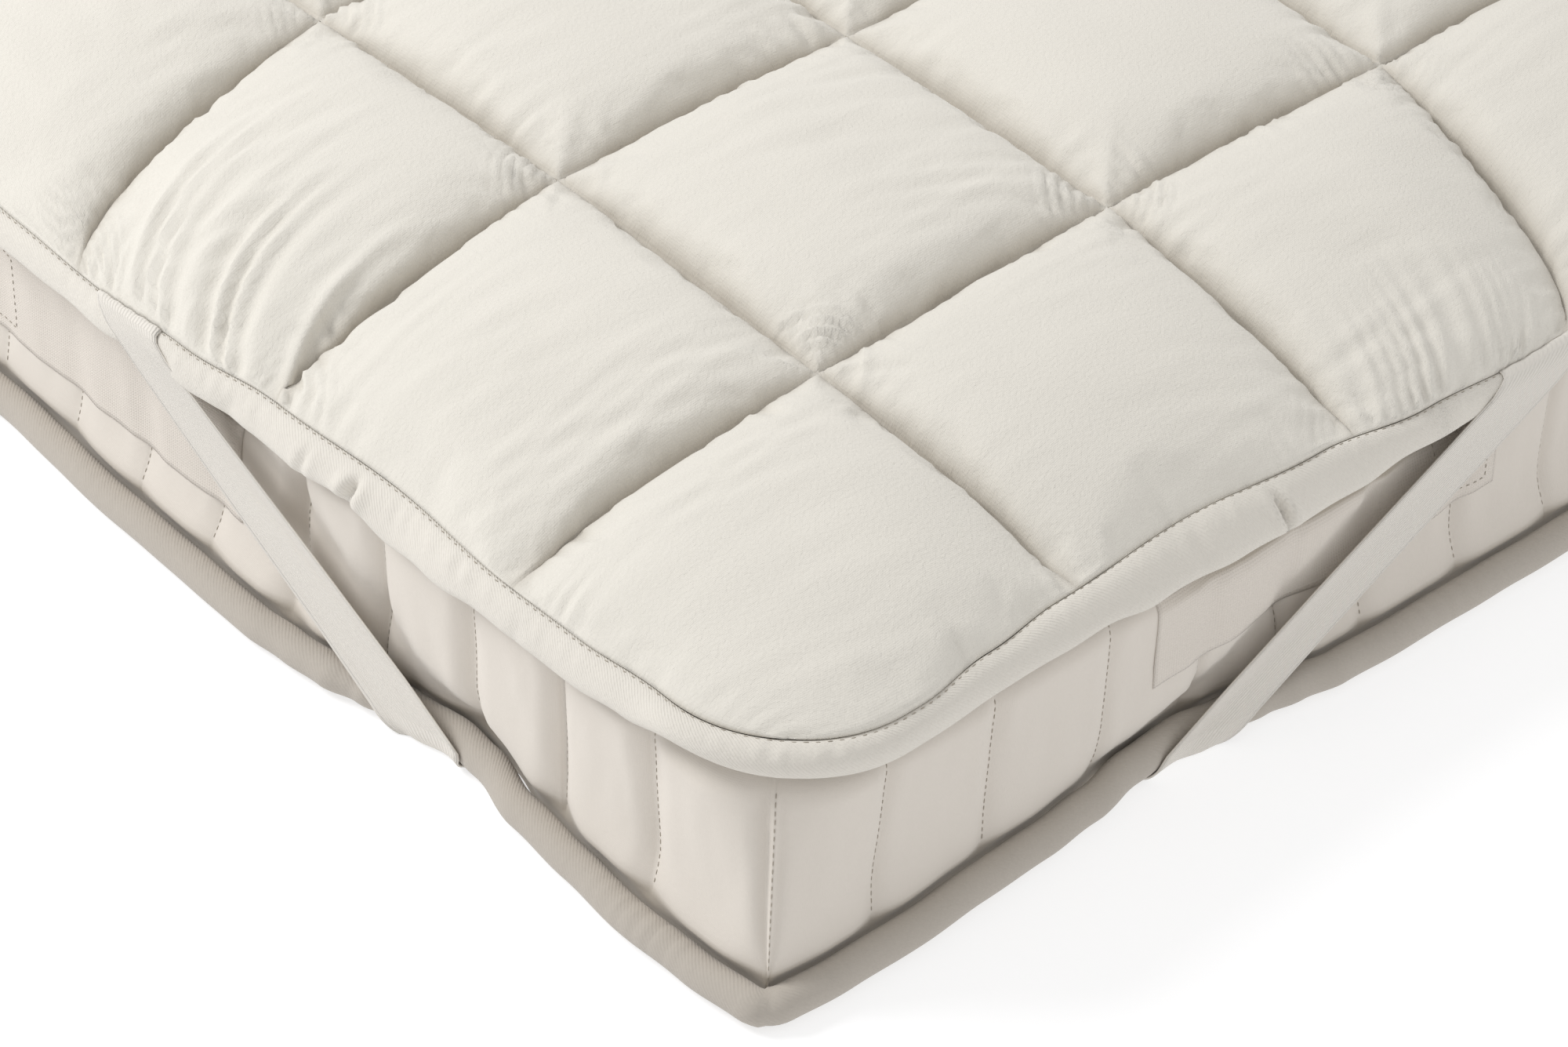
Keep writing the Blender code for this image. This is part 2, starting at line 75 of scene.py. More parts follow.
cameraSet = {
    "place": (-1.981, -2.257, 1.770),
    "heading": 46.77,            # degrees from +X toward +Y
    "down": 39.61,
    "roll": 2.0,
    "lens": 108.0,
    "sensor": 36.0,
    "farthest": 60.0,
}


def wayTo(heading, height):
    # the way toward a heading, from +X toward +Y, and a height over the floor, both in degrees
    heading, height = math.radians(heading), math.radians(height)
    return Vector((math.cos(height) * math.cos(heading), math.cos(height) * math.sin(heading),
                   math.sin(height)))


def makeCamera():
    look = wayTo(cameraSet["heading"], -cameraSet["down"])
    roll = math.radians(cameraSet["roll"])
    level = look.cross(Vector((0, 0, 1))).normalized()
    upright = level.cross(look)
    right = level * math.cos(roll) + upright * math.sin(roll)
    up = upright * math.cos(roll) - level * math.sin(roll)
    turn = Matrix((right, up, -look)).transposed()
    bpy.ops.object.camera_add(location=cameraSet["place"], rotation=turn.to_euler())
    camera = bpy.context.object
    camera.data.lens = cameraSet["lens"]
    camera.data.sensor_width = cameraSet["sensor"]
    camera.data.clip_end = cameraSet["farthest"]
    bpy.context.scene.camera = camera


studioSet = {
    "floorSize": 40.0,
    "floorDrop": 0.0004,
    "floorColour": (0.46, 0.46, 0.464, 1),
    "floorGlow": 0.62,           # keeps the floor white and its shadows faint
    "worldColour": (1.0, 1.0, 1.0, 1),
    "worldPower": 0.70,
    "target": (-0.5, -0.7, 0.1),  # where both lights point
    "keyHeading": 127.0,         # degrees from +X toward +Y that the light comes from
    "keyHeight": 43.0,
    "keyDistance": 4.6,
    "keySize": 1.9,
    "keyPower": 130.0,
    "fillHeading": -45.0,
    "fillHeight": 32.0,
    "fillDistance": 5.0,
    "fillSize": 3.2,
    "fillPower": 26.0,
}


def setInputs(node, values):
    for name, value in values.items():
        node.inputs[name].default_value = value


def makeStudio():
    bpy.ops.mesh.primitive_plane_add(size=studioSet["floorSize"], location=(0, 0, -studioSet["floorDrop"]))
    floor = bpy.context.object
    floor.name = "studioFloor"
    paint = bpy.data.materials.new("floorPaint")
    paint.use_nodes = True
    setInputs(paint.node_tree.nodes["Principled BSDF"], {
        "Base Color": studioSet["floorColour"], "Roughness": 0.9, "Specular IOR Level": 0.0,
        "Emission Color": (1, 1, 1, 1), "Emission Strength": studioSet["floorGlow"]})
    floor.data.materials.append(paint)
    world = bpy.data.worlds.new("studioWorld")
    world.use_nodes = True
    setInputs(world.node_tree.nodes["Background"], {
        "Color": studioSet["worldColour"], "Strength": studioSet["worldPower"]})
    bpy.context.scene.world = world
    for name in ("key", "fill"):
        side = wayTo(studioSet[name + "Heading"], studioSet[name + "Height"])
        place = Vector(studioSet["target"]) + side * studioSet[name + "Distance"]
        turn = side.to_track_quat("Z", "Y").to_euler()
        bpy.ops.object.light_add(type="AREA", location=place, rotation=turn)
        light = bpy.context.object
        light.name = name + "Light"
        light.data.shape = "DISK"
        light.data.size = studioSet[name + "Size"]
        light.data.energy = studioSet[name + "Power"]
    bpy.context.scene.view_settings.view_transform = "Standard"


makeCamera()
makeStudio()
print("camera and studio ready")


# Cloth materials: every pattern reads the piece's own UV map, which is in metres

clothSet = {
    # colour, how much it varies, sheen, roughness, weave (plain, twill, rib or none), its pitch and
    # depth, depth of the fuzz
    "brushed_cotton": ((0.685, 0.655, 0.595), 0.050, 0.20, 0.95, "plain", 0.0011, 0.00008, 0.00050),
    "binding_twill": ((0.680, 0.645, 0.585), 0.040, 0.15, 0.90, "twill", 0.0013, 0.00020, 0.00040),
    "strap_elastic": ((0.695, 0.660, 0.605), 0.025, 0.10, 0.80, "rib", 0.0016, 0.00034, 0.00010),
    "mattress_sateen": ((0.655, 0.607, 0.548), 0.030, 0.20, 0.80, "plain", 0.0008, 0.00004, 0.00012),
    "piping_twill": ((0.435, 0.397, 0.350), 0.060, 0.15, 0.90, "twill", 0.0014, 0.00012, 0.00025),
    "handle_canvas": ((0.648, 0.598, 0.540), 0.035, 0.10, 0.90, "plain", 0.0019, 0.00022, 0.00010),
    # quilting thread darkened to the tone of the shaded valleys it lies in: real thread, painted shade
    "quilting_thread_valley_shade": ((0.42, 0.38, 0.32), 0.02, 0.10, 0.70, "none", 0.001, 0.0, 0.0),
    # seam thread darkened to stand for the shaded needle holes: real thread, painted shade
    "seam_thread_hole_shade": ((0.36, 0.32, 0.265), 0.05, 0.10, 0.80, "none", 0.001, 0.0, 0.0),
}

lookSet = {
    # colour of the painted shade in quilting valleys and gaps
    "paintedShadeColour": (0.330, 0.285, 0.225),
    "cloudScale": 9.0,
    "slubScale": 420.0,
    "fuzzScale": 380.0,
    "fuzzUneven": 0.6,
    "threadUneven": 0.4,
    "waveScale": 0.314,          # a wave texture's scale times the pitch of its bands
    "sheenRoughness": 0.5,
    "specular": 0.25,
}


def addNode(tree, kind, values=(), **settings):
    node = tree.nodes.new("ShaderNode" + kind)
    for name, value in settings.items():
        setattr(node, name, value)
    setInputs(node, dict(values))
    return node


def linkNodes(tree, *pairs):
    for start, end in pairs:
        tree.links.new(start, end)


def makeCloth(name):
    colour, variety, sheen, roughness, weave, pitch, weaveDepth, fuzzDepth = clothSet[name]
    material = bpy.data.materials.new(name)
    material.use_nodes = True
    tree = material.node_tree
    shader = tree.nodes["Principled BSDF"]
    setInputs(shader, {"Roughness": roughness, "Specular IOR Level": lookSet["specular"],
                       "Sheen Weight": sheen, "Sheen Roughness": lookSet["sheenRoughness"]})
    place = addNode(tree, "TexCoord").outputs["UV"]
    # colour: broad clouds and fine slubs between a darker and a lighter tone
    clouds = addNode(tree, "TexNoise", {"Scale": lookSet["cloudScale"], "Detail": 3.0})
    slubs = addNode(tree, "TexNoise", {"Scale": lookSet["slubScale"], "Detail": 2.0})
    blend = addNode(tree, "Mix", {0: 0.5}, data_type="FLOAT")
    darker = (*[channel * (1 - variety) for channel in colour], 1)
    lighter = (*[min(1, channel * (1 + variety)) for channel in colour], 1)
    tones = addNode(tree, "Mix", {6: darker, 7: lighter}, data_type="RGBA")
    # painted shade in quilting valleys and gaps: the colour darkens toward the shade colour by the value kept
    # on the piece's points
    paintedShade = addNode(tree, "Attribute", attribute_name="paintedShade")
    shadedTone = addNode(tree, "Mix", {7: (*lookSet["paintedShadeColour"], 1)}, data_type="RGBA")
    linkNodes(tree, (place, clouds.inputs["Vector"]), (place, slubs.inputs["Vector"]),
              (clouds.outputs["Fac"], blend.inputs[2]), (slubs.outputs["Fac"], blend.inputs[3]),
              (blend.outputs[0], tones.inputs[0]), (tones.outputs[2], shadedTone.inputs[6]),
              (paintedShade.outputs["Fac"], shadedTone.inputs[0]), (shadedTone.outputs[2], shader.inputs["Base Color"]))
    if weave == "none":
        return material
    # relief: brushed fuzz first, then the weave on top of it
    fuzz = addNode(tree, "TexNoise", {"Scale": lookSet["fuzzScale"], "Detail": 4.0,
                                      "Distortion": lookSet["fuzzUneven"]})
    fuzzBump = addNode(tree, "Bump", {"Distance": fuzzDepth})
    thread = {"Scale": lookSet["waveScale"] / pitch, "Distortion": lookSet["threadUneven"]}
    bands = {"plain": "X", "twill": "DIAGONAL", "rib": "Y"}[weave]
    threads = addNode(tree, "TexWave", thread, bands_direction=bands)
    height = threads.outputs["Fac"]
    if weave == "plain":
        across = addNode(tree, "TexWave", thread, bands_direction="Y")
        cross = addNode(tree, "Math", operation="MULTIPLY")
        linkNodes(tree, (place, across.inputs["Vector"]), (height, cross.inputs[0]),
                  (across.outputs["Fac"], cross.inputs[1]))
        height = cross.outputs[0]
    weaveBump = addNode(tree, "Bump", {"Distance": weaveDepth})
    linkNodes(tree, (place, fuzz.inputs["Vector"]), (place, threads.inputs["Vector"]),
              (fuzz.outputs["Fac"], fuzzBump.inputs["Height"]), (height, weaveBump.inputs["Height"]),
              (fuzzBump.outputs[0], weaveBump.inputs["Normal"]),
              (weaveBump.outputs[0], shader.inputs["Normal"]))
    return material


cloth = {name: makeCloth(name) for name in clothSet}
print("cloth materials ready")


# Functions that the pieces share

def tableSpot(stops, place):
    # the row of a table before each place, and the share of the way to the next row
    low = np.clip(np.searchsorted(stops, place, side="right") - 1, 0, len(stops) - 2)
    return low, (place - stops[low]) / (stops[low + 1] - stops[low])


def easedValue(table, column, distance):
    # a table's column read at a distance, eased between its rows
    stops = np.array(table["from"])
    values = np.array(table[column])
    low, share = tableSpot(stops, np.clip(distance, stops[0], stops[-1]))
    return values[low] + (values[low + 1] - values[low]) * (0.5 - 0.5 * np.cos(np.pi * share))


def smoothStep(value, low, high):
    share = np.clip((value - low) / (high - low), 0, 1)
    return share * share * (3 - 2 * share)


def window(value, start, rise, fall, end):
    return smoothStep(value, start, rise) * (1 - smoothStep(value, fall, end))


def wavyLine(place, seed, shortest, longest, waves=7):
    # uneven ripples along a line, about -1 to 1
    source = np.random.default_rng(seed)
    total = np.zeros_like(place)
    for _ in range(waves):
        length = source.uniform(shortest, longest)
        total += np.sin(2 * np.pi * (place / length + source.uniform()))
    return total / math.sqrt(waves)


def wavyField(x, y, seed, shortest, longest, heading=0.0, spread=180.0, waves=14):
    # uneven swells over a surface, whose crests lie across the heading
    source = np.random.default_rng(seed)
    total = np.zeros_like(x)
    for _ in range(waves):
        length = source.uniform(shortest, longest)
        angle = math.radians(heading + source.uniform(-spread, spread))
        total += np.sin(2 * np.pi * ((x * math.cos(angle) + y * math.sin(angle)) / length + source.uniform()))
    return total / math.sqrt(waves)


def roundCorner(x, y, radius):
    # points given by their distances from two sides, moved off the square corner
    reach = bed["cornerReach"]
    depth = np.minimum(x, y)
    along = np.abs(x - y)
    bend = radius * (1 - depth / reach)
    halfArc = bend * np.pi / 4
    travel = along / reach * (reach - bend + halfArc)
    angle = np.pi / 4 + travel / np.maximum(bend, 1e-9)
    onArc = travel < halfArc
    far = np.where(onArc, depth + bend - bend * np.cos(angle), depth + bend + travel - halfArc)
    near = np.where(onArc, depth + bend - bend * np.sin(angle), depth)
    reached = (along < reach) & (depth < reach)
    newX = np.where(x >= y, far, near)
    newY = np.where(x >= y, near, far)
    return np.where(reached, newX, x), np.where(reached, newY, y)


def fromSides(signX, signY, x, y, z):
    # points at their distances from two sides of the bed
    return np.stack([signX * (bed["width"] / 2 - x), signY * (bed["length"] / 2 - y), z], axis=-1)


def raised(level, height):
    # level places put at their heights
    return np.concatenate([level, height[..., None]], axis=-1)


def travelRound(points):
    # distance travelled round a closed ring of points
    return np.cumsum(np.linalg.norm(np.diff(points, axis=0, prepend=points[-1:]), axis=1))


def travelAlong(points):
    # distance travelled along a line of points
    return np.concatenate([[0], np.cumsum(np.linalg.norm(np.diff(points, axis=0), axis=1))])


def oneLong(ways, least=0.0):
    return ways / (np.linalg.norm(ways, axis=-1) + least)[..., None]


def levelNormals(points):
    step = np.roll(points, -1, axis=0) - np.roll(points, 1, axis=0)
    return oneLong(np.stack([step[:, 1], -step[:, 0]], axis=1))


def surfaceNormals(points):
    return oneLong(np.cross(np.gradient(points, axis=1), np.gradient(points, axis=0)))


def betweenPoints(grid, i, j, a, b):
    # values between the points of a grid, from the numbers of the points and the shares past them
    a, b = a[..., None], b[..., None]
    near = grid[i, j] * (1 - a) + grid[i + 1, j] * a
    far = grid[i, j + 1] * (1 - a) + grid[i + 1, j + 1] * a
    return near * (1 - b) + far * b


def gridPiece(name, points, places, material):
    # a grid of cloth: points by row and column, and each point's place on the flat cloth
    rows, columns = points.shape[:2]
    bpy.ops.object.select_all(action="DESELECT")
    bpy.ops.mesh.primitive_grid_add(x_subdivisions=columns - 1, y_subdivisions=rows - 1, size=2)
    piece = bpy.context.object
    piece.name = name
    mesh = piece.data
    mesh.name = name
    flat = np.empty(len(mesh.vertices) * 3)
    mesh.vertices.foreach_get("co", flat)
    flat = flat.reshape(-1, 3)
    column = np.rint((flat[:, 0] + 1) / 2 * (columns - 1)).astype(int)
    row = np.rint((flat[:, 1] + 1) / 2 * (rows - 1)).astype(int)
    mesh.vertices.foreach_set("co", points[row, column].ravel())
    used = np.empty(len(mesh.loops), dtype=int)
    mesh.loops.foreach_get("vertex_index", used)
    mesh.uv_layers.active.data.foreach_set("uv", places[row, column][used].ravel())
    mesh.materials.append(material)
    mesh.update()
    return piece


def selectOnly(piece):
    bpy.ops.object.select_all(action="DESELECT")
    piece.select_set(True)
    bpy.context.view_layer.objects.active = piece


def editMesh(piece, *steps):
    # run edit mode operators on the whole piece, each a name and its settings
    selectOnly(piece)
    bpy.ops.object.mode_set(mode="EDIT")
    bpy.ops.mesh.select_all(action="SELECT")
    for step, settings in steps:
        getattr(bpy.ops.mesh, step)(**settings)
    bpy.ops.object.mode_set(mode="OBJECT")


def tubePiece(name, points, girth, length, material):
    # a closed ring of closed sections, from points by station and side
    stations, sides = points.shape[:2]
    wrapped = np.concatenate([points, points[:1]], axis=0)
    wrapped = np.concatenate([wrapped, wrapped[:, :1]], axis=1)
    along, round_ = np.meshgrid(np.linspace(0, length, stations + 1), np.linspace(0, girth, sides + 1),
                                indexing="ij")
    piece = gridPiece(name, wrapped, np.stack([along, round_], axis=2), material)
    editMesh(piece, ("remove_doubles", {"threshold": 1e-6}),
             ("normals_make_consistent", {"inside": False}))
    return piece


def thickenSheet(piece, thickness):
    # give a sheet its thickness, half of it on each side
    selectOnly(piece)
    wall = piece.modifiers.new("Thickness", "SOLIDIFY")
    wall.thickness = thickness
    wall.offset = 0.0
    bpy.ops.object.modifier_apply(modifier=wall.name)
    editMesh(piece, ("normals_make_consistent", {"inside": False}))


def paintShadeOnPoints(piece, shade):
    # painted shade: how much the material darkens the cloth at each of its points, where shade falls in
    # valleys and gaps
    values = piece.data.attributes.new("paintedShade", "FLOAT", "POINT")
    values.data.foreach_set("value", np.clip(shade, 0, 1).ravel())


def finishPiece(piece, slot, *nodes):
    selectOnly(piece)
    bpy.ops.object.shade_smooth()
    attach(piece, "root")
    if nodes:
        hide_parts(*nodes)
    return piece


# Quilted pad: seam and quilting lines first, then the cloth between them

seamTable = {
    # by distance from a corner: how far the seam is drawn in on the long and the short sides,
    # how far a strap pulls it down, and how far it pulls the cloth to the corner
    "from": (0.00, 0.10, 0.16, 0.22, 0.32, 0.42, 0.50, 0.58, 0.66, 0.76, 1.00),
    "long": (0.0130, 0.0125, 0.0075, 0.0065, 0.0125, 0.0085, 0.0025, 0.0000, 0.0005, 0.0040, 0.0080),
    "short": (0.0060, 0.0070, 0.0145, 0.0205, 0.0260, 0.0180, 0.0095, 0.0065, 0.0070, 0.0080, 0.0100),
    "drop": (0.000, 0.000, 0.000, 0.000, 0.000, 0.001, 0.005, 0.008, 0.006, 0.002, 0.000),
    "longPull": (0.000, 0.002, 0.005, 0.008, 0.013, 0.019, 0.035, 0.056, 0.070, 0.045, 0.000),
    "shortPull": (0.000, -0.001, -0.004, -0.0075, -0.002, 0.006, 0.017, 0.050, 0.078, 0.050, 0.000),
}
quiltSet = {
    "seamHeight": 0.158,
    "stitchHeight": 0.1965,
    "crown": 0.0245,
    "crownPower": 0.52,          # below 1 makes steep valleys with a broad crown
    "groove": 0.0105,            # how much deeper the stitches draw a line between two crossings
    "grooveReach": 0.0044,
    "grooveAtCrossing": 0.35,    # share of that depth at the crossings themselves
    "lineBulge": 0.0010,         # how far the cells swell over a quilting line
    "bulgeReach": 0.0040,
    "cornerFill": 0.04,          # how much fuller the corner cell is than its two sides make it
    "paintedShadeStrength": 0.62,         # how much painted shade darkens a quilting line, and how far from it
    "paintedShadeReach": 0.0054,
    "softenPasses": 220,
    "fallPower": 1.2,
    "dropPower": 3,
    "seamRadius": 0.089,
    "pullFade": 0.12,
    "pullEdgeShare": 0.4,
    "pullEdgeReach": 0.15,
    "fromRim": (0.5, 0.6),       # cells from the rim at which the inner quilting lines begin
    "rimFade": (0.0, 0.14),
    "finestFaces": 82,           # faces that a cell would have if all were as small as those by its lines
    "farFaces": 4.0,             # how much larger they are in the cells far from the corner that shows
    "puckerHeight": 0.0008,
    "puckerReach": 0.008,
    "lumpHeight": 0.0012,
    "streakHeight": 0.0009,
}
ringSet = {
    "height": 0.0016,
    "length": 0.0078,
    "margin": 0.006,             # the rings fade out this close to a line
    "fade": (0.003, 0.009, 0.034, 0.050),
    "farthest": 0.06,
    "chance": 0.8,               # greatest strength at a crossing that has none of its own below
    "lean": 0.12,
    "flatness": 0.10,
}
# strength of the rings at single crossings, by crossing and by the way to the cell
arcStrengths = {
    (0, 0, 1, 1): 0.1, (1, 1, 1, 1): 1.15, (1, 1, 1, -1): 0.2, (1, 1, -1, 1): 0.1, (1, 1, -1, -1): 0.1,
    (0, 2, 1, -1): 0.6, (0, 2, 1, 1): 0.2, (2, 0, 1, 1): 0.3, (2, 0, -1, 1): 0.2}
# folds that the straps draw up: their height and spacing, where they begin and end along the side,
# how far in they reach and how far they lean from the corner
gatherSet = {
    "long": {"height": 0.0030, "length": 0.0205, "from": 0.38, "to": 0.61, "reach": 0.15, "lean": 0.060},
    "short": {"height": 0.0016, "length": 0.0135, "from": 0.42, "to": 0.60, "reach": 0.10, "lean": 0.045},
}
# single straight ridges across a cell's corner: crossing, way to the cell, reach, height and width
cornerRidges = ((1, 1, 1, -1, 0.039, 0.0018, 0.0036), (1, 1, 1, -1, 0.028, -0.0012, 0.0060),
                (1, 1, -1, -1, 0.050, 0.0006, 0.0030), (1, 1, -1, -1, 0.061, 0.0006, 0.0030),
                (2, 1, 1, -1, 0.045, 0.0010, 0.0040), (1, 2, 1, -1, 0.036, 0.0012, 0.0040),
                (2, 2, -1, -1, 0.050, 0.0008, 0.0040), (3, 2, 1, 1, 0.040, 0.0012, 0.0040),
                (4, 3, 1, -1, 0.042, 0.0012, 0.0040), (5, 5, -1, 1, 0.036, 0.0012, 0.0040),
                (2, 6, 1, 1, 0.045, 0.0012, 0.0040), (4, 7, -1, -1, 0.040, 0.0012, 0.0040))


def shiftedLines(u, v):
    # how far the quilting lines wander off an even grid, in cells
    measured = {(1, 1): (-0.018, -0.030), (1, 2): (0.014, 0.005), (1, 3): (-0.006, -0.010),
                (2, 1): (-0.006, 0.006), (2, 2): (0.013, 0.017), (3, 1): (0.0, -0.001)}
    source = np.random.default_rng(17)
    shift = source.uniform(-0.014, 0.014, (bed["cellsAcross"] + 1, bed["cellsAlong"] + 1, 2))
    for (i, j), pair in measured.items():
        shift[i, j] = pair
    shift[[0, -1]] = 0
    shift[:, [0, -1]] = 0
    i = np.clip(np.floor(u).astype(int), 0, bed["cellsAcross"] - 1)
    j = np.clip(np.floor(v).astype(int), 0, bed["cellsAlong"] - 1)
    a = (u - i) ** 2 * (3 - 2 * (u - i))
    b = (v - j) ** 2 * (3 - 2 * (v - j))
    return betweenPoints(shift, i, j, a, b)


def strapPull(side, distance, halfSide, depth):
    edge = quiltSet["pullEdgeShare"] * (1 - np.exp(-depth / quiltSet["pullEdgeReach"]))
    fade = np.minimum(1, (halfSide - distance) / quiltSet["pullFade"])
    pull = easedValue(seamTable, side + "Pull", distance) * fade * (1 - depth) * (1 - edge)
    return np.where(depth < 1, pull, 0)


def puffShape(place):
    # height of the filled cloth between two quilting lines
    return np.abs(np.sin(np.pi * place)) ** quiltSet["crownPower"]


def lineGroove(place, beside, size):
    # how deep the stitches draw the cloth in beside a quilting line, less toward the crossings
    fromLine = np.abs(place - np.rint(place)) * size
    least = quiltSet["grooveAtCrossing"]
    between = least + (1 - least) * np.abs(np.sin(np.pi * beside)) ** 0.6
    return quiltSet["groove"] * np.exp(-fromLine / quiltSet["grooveReach"]) * between


def lineBulge(place, size):
    # how far a place beside a quilting line is pushed over it, in cells
    offset = (place - np.rint(place)) * size
    depth = np.abs(offset) / quiltSet["bulgeReach"]
    return -np.sign(offset) * quiltSet["lineBulge"] * depth * np.exp(1 - depth) / size


def softened(field, passes):
    # a grid of values eased over its inner points, with its rim held
    field = field.copy()
    for _ in range(passes):
        field[1:-1, 1:-1] = (field[:-2, 1:-1] + field[2:, 1:-1] + field[1:-1, :-2] + field[1:-1, 2:]) / 4
    return field


def quiltSurface(u, v, passes=0):
    # the plain quilted top at places counted in cells from the pad's first corner
    across, along = bed["cellsAcross"], bed["cellsAlong"]
    puff = puffShape(u) * puffShape(v)
    fromU, fromV = np.minimum(u, across - u), np.minimum(v, along - v)
    inU, inV = smoothStep(fromU, *quiltSet["fromRim"]), smoothStep(fromV, *quiltSet["fromRim"])
    rimU, rimV = smoothStep(fromU, *quiltSet["rimFade"]), smoothStep(fromV, *quiltSet["rimFade"])
    groove = np.maximum(lineGroove(u, v, cellWidth) * inU * rimV,
                        lineGroove(v, u, cellLength) * inV * rimU)
    shift = shiftedLines(u, v)
    bulgeU = lineBulge(u, cellWidth) * puffShape(v) * inU
    bulgeV = lineBulge(v, cellLength) * puffShape(u) * inV
    u, v = u + shift[..., 0] + bulgeU, v + shift[..., 1] + bulgeV
    edgeU = np.minimum(u, across - u)
    edgeV = np.minimum(v, along - v)
    x = edgeU * cellWidth
    y = edgeV * cellLength
    x, y = (x - strapPull("short", x, bed["width"] / 2, edgeV),
            y - strapPull("long", y, bed["length"] / 2, edgeU))
    roundX, roundY = roundCorner(x, y, quiltSet["seamRadius"])
    if passes:
        roundX = x + softened(roundX - x, passes)
        roundY = y + softened(roundY - y, passes)
    x, y = roundX, roundY
    nearU = np.maximum(0, 1 - edgeU)
    nearV = np.maximum(0, 1 - edgeV)
    drawnX = x + easedValue(seamTable, "long", y) * nearU
    drawnY = y + easedValue(seamTable, "short", x) * nearV
    level = (1 - nearU ** quiltSet["fallPower"]) * (1 - nearV ** quiltSet["fallPower"])
    both = 4 * nearU * nearV / ((nearU + nearV) ** 2 + 1e-9)
    level = level ** (1 - quiltSet["cornerFill"] * both)
    drop = easedValue(seamTable, "drop", y) * nearU ** quiltSet["dropPower"]
    drop = drop + easedValue(seamTable, "drop", x) * nearV ** quiltSet["dropPower"]
    rise = quiltSet["stitchHeight"] - quiltSet["seamHeight"]
    z = quiltSet["seamHeight"] + rise * level + quiltSet["crown"] * puff - drop - groove
    signX = np.where(u < across / 2, -1, 1)
    signY = np.where(v < along / 2, -1, 1)
    return fromSides(signX, signY, drawnX, drawnY, z)


spacingTable = {
    # size of the faces by distance from a quilting line, in cells
    "from": (0.00, 0.02, 0.18, 0.36, 0.50),
    "size": (0.55, 1.00, 1.00, 2.20, 2.60),
}


def gradedStops(cells):
    # stops over a row of cells, closest beside their lines and at the folds that the straps draw up
    stops = []
    for cell in range(cells):
        place = np.linspace(0, 1, 401)
        fromLine = np.minimum(place, 1 - place)
        size = easedValue(spacingTable, "size", fromLine)
        size = np.where(np.abs(cell + place - 2.2) < 0.45, np.minimum(size, 1.5), size)
        far = (quiltSet["farFaces"] - 1) * smoothStep(cell + place, 2.7, 4.2)
        size = size * (1 + far * smoothStep(fromLine, 0.0, 0.12))
        run = np.concatenate([[0], np.cumsum(1 / size[1:] + 1 / size[:-1]) / 800])
        count = round(run[-1] * quiltSet["finestFaces"])
        stops.append(cell + np.interp(np.arange(count) / count * run[-1], run, place))
    return np.concatenate(stops + [np.array([cells])])


def crossingArcs(u, v):
    # rings of small puckers that spread over each cell from a crossing of two quilting lines
    relief = np.zeros_like(u)
    source = np.random.default_rng(5)
    for i in range(bed["cellsAcross"] + 1):
        for j in range(bed["cellsAlong"] + 1):
            for turnU, turnV in ((1, 1), (1, -1), (-1, 1), (-1, -1)):
                length = ringSet["length"] * source.uniform(0.9, 1.2)
                chance = source.uniform(0, 1) ** 2 * ringSet["chance"]
                height = ringSet["height"] * arcStrengths.get((i, j, turnU, turnV), chance)
                phase = source.uniform(0, 1)
                lean = source.uniform(-ringSet["lean"], ringSet["lean"])
                away = (u - i) * turnU * cellWidth
                beside = (v - j) * turnV * cellLength
                near = (away > 0) & (beside > 0)
                near = near & (away < ringSet["farthest"]) & (beside < ringSet["farthest"])
                reach = np.hypot(away[near], beside[near])
                spread = np.clip(2 * away[near] * beside[near] / reach ** 2, 0, 1)
                bend = reach * (1 + lean * (away[near] - beside[near]) / reach + ringSet["flatness"] * spread)
                fade = window(reach, *ringSet["fade"]) * spread ** 0.3
                fade = fade * smoothStep(np.minimum(away[near], beside[near]), 0, ringSet["margin"])
                wave = np.cos(2 * np.pi * (bend / length + phase))
                relief[near] += height * wave * fade
    for i, j, turnU, turnV, reach, height, width in cornerRidges:
        away = (u - i) * turnU * cellWidth
        beside = (v - j) * turnV * cellLength
        near = (away > 0) & (beside > 0)
        span = away[near] + beside[near] + 6 * (away[near] - beside[near]) ** 2
        ends = smoothStep(np.minimum(away[near], beside[near]), 0, 0.008)
        relief[near] += height * np.exp(-((span - reach) / width) ** 2) * ends
    return relief


def linePuckers(u, v):
    # short wrinkles square to the quilting lines and to the seam, uneven along each side of each line
    relief = np.zeros_like(u)
    seed = 40
    ways = ((bed["cellsAcross"], u, v, cellWidth, cellLength),
            (bed["cellsAlong"], v, u, cellLength, cellWidth))
    for count, place, along, size, run in ways:
        for line in range(count + 1):
            for turn in (1, -1):
                seed += 1
                away = (place - line) * turn * size
                near = (away > 0) & (away < 0.07)
                where = along[near] * run
                ripple = wavyLine(where, seed, 0.008, 0.024)
                patch = 0.55 + 0.45 * wavyLine(where, seed + 500, 0.08, 0.20, 3)
                depth = away[near] / quiltSet["puckerReach"]
                relief[near] += quiltSet["puckerHeight"] * ripple * patch * depth * np.exp(1 - depth)
    return relief


def strapGathers(x, y):
    relief = np.zeros_like(x)
    sideX = bed["width"] / 2 - np.abs(x)
    sideY = bed["length"] / 2 - np.abs(y)
    for side, along, depth, seed in (("long", sideY, sideX, 3), ("short", sideX, sideY, 8)):
        fold = gatherSet[side]
        lean = fold["lean"] * (1 - np.exp(-depth / 0.045))
        wander = 0.007 * wavyLine(along - lean, seed, 0.06, 0.16, 4)
        wave = np.cos(2 * np.pi * (along - lean + wander) / fold["length"])
        wave = wave + 0.25 * wave ** 2
        uneven = 0.75 + 0.35 * wavyLine(along - lean, seed + 1, 0.03, 0.09, 4)
        where = window(along - lean * 0.6, fold["from"], fold["from"] + 0.05, fold["to"] - 0.06, fold["to"])
        fade = window(depth, 0.0, 0.010, fold["reach"] * 0.3, fold["reach"])
        relief += fold["height"] * wave * uneven * where * fade
    return relief


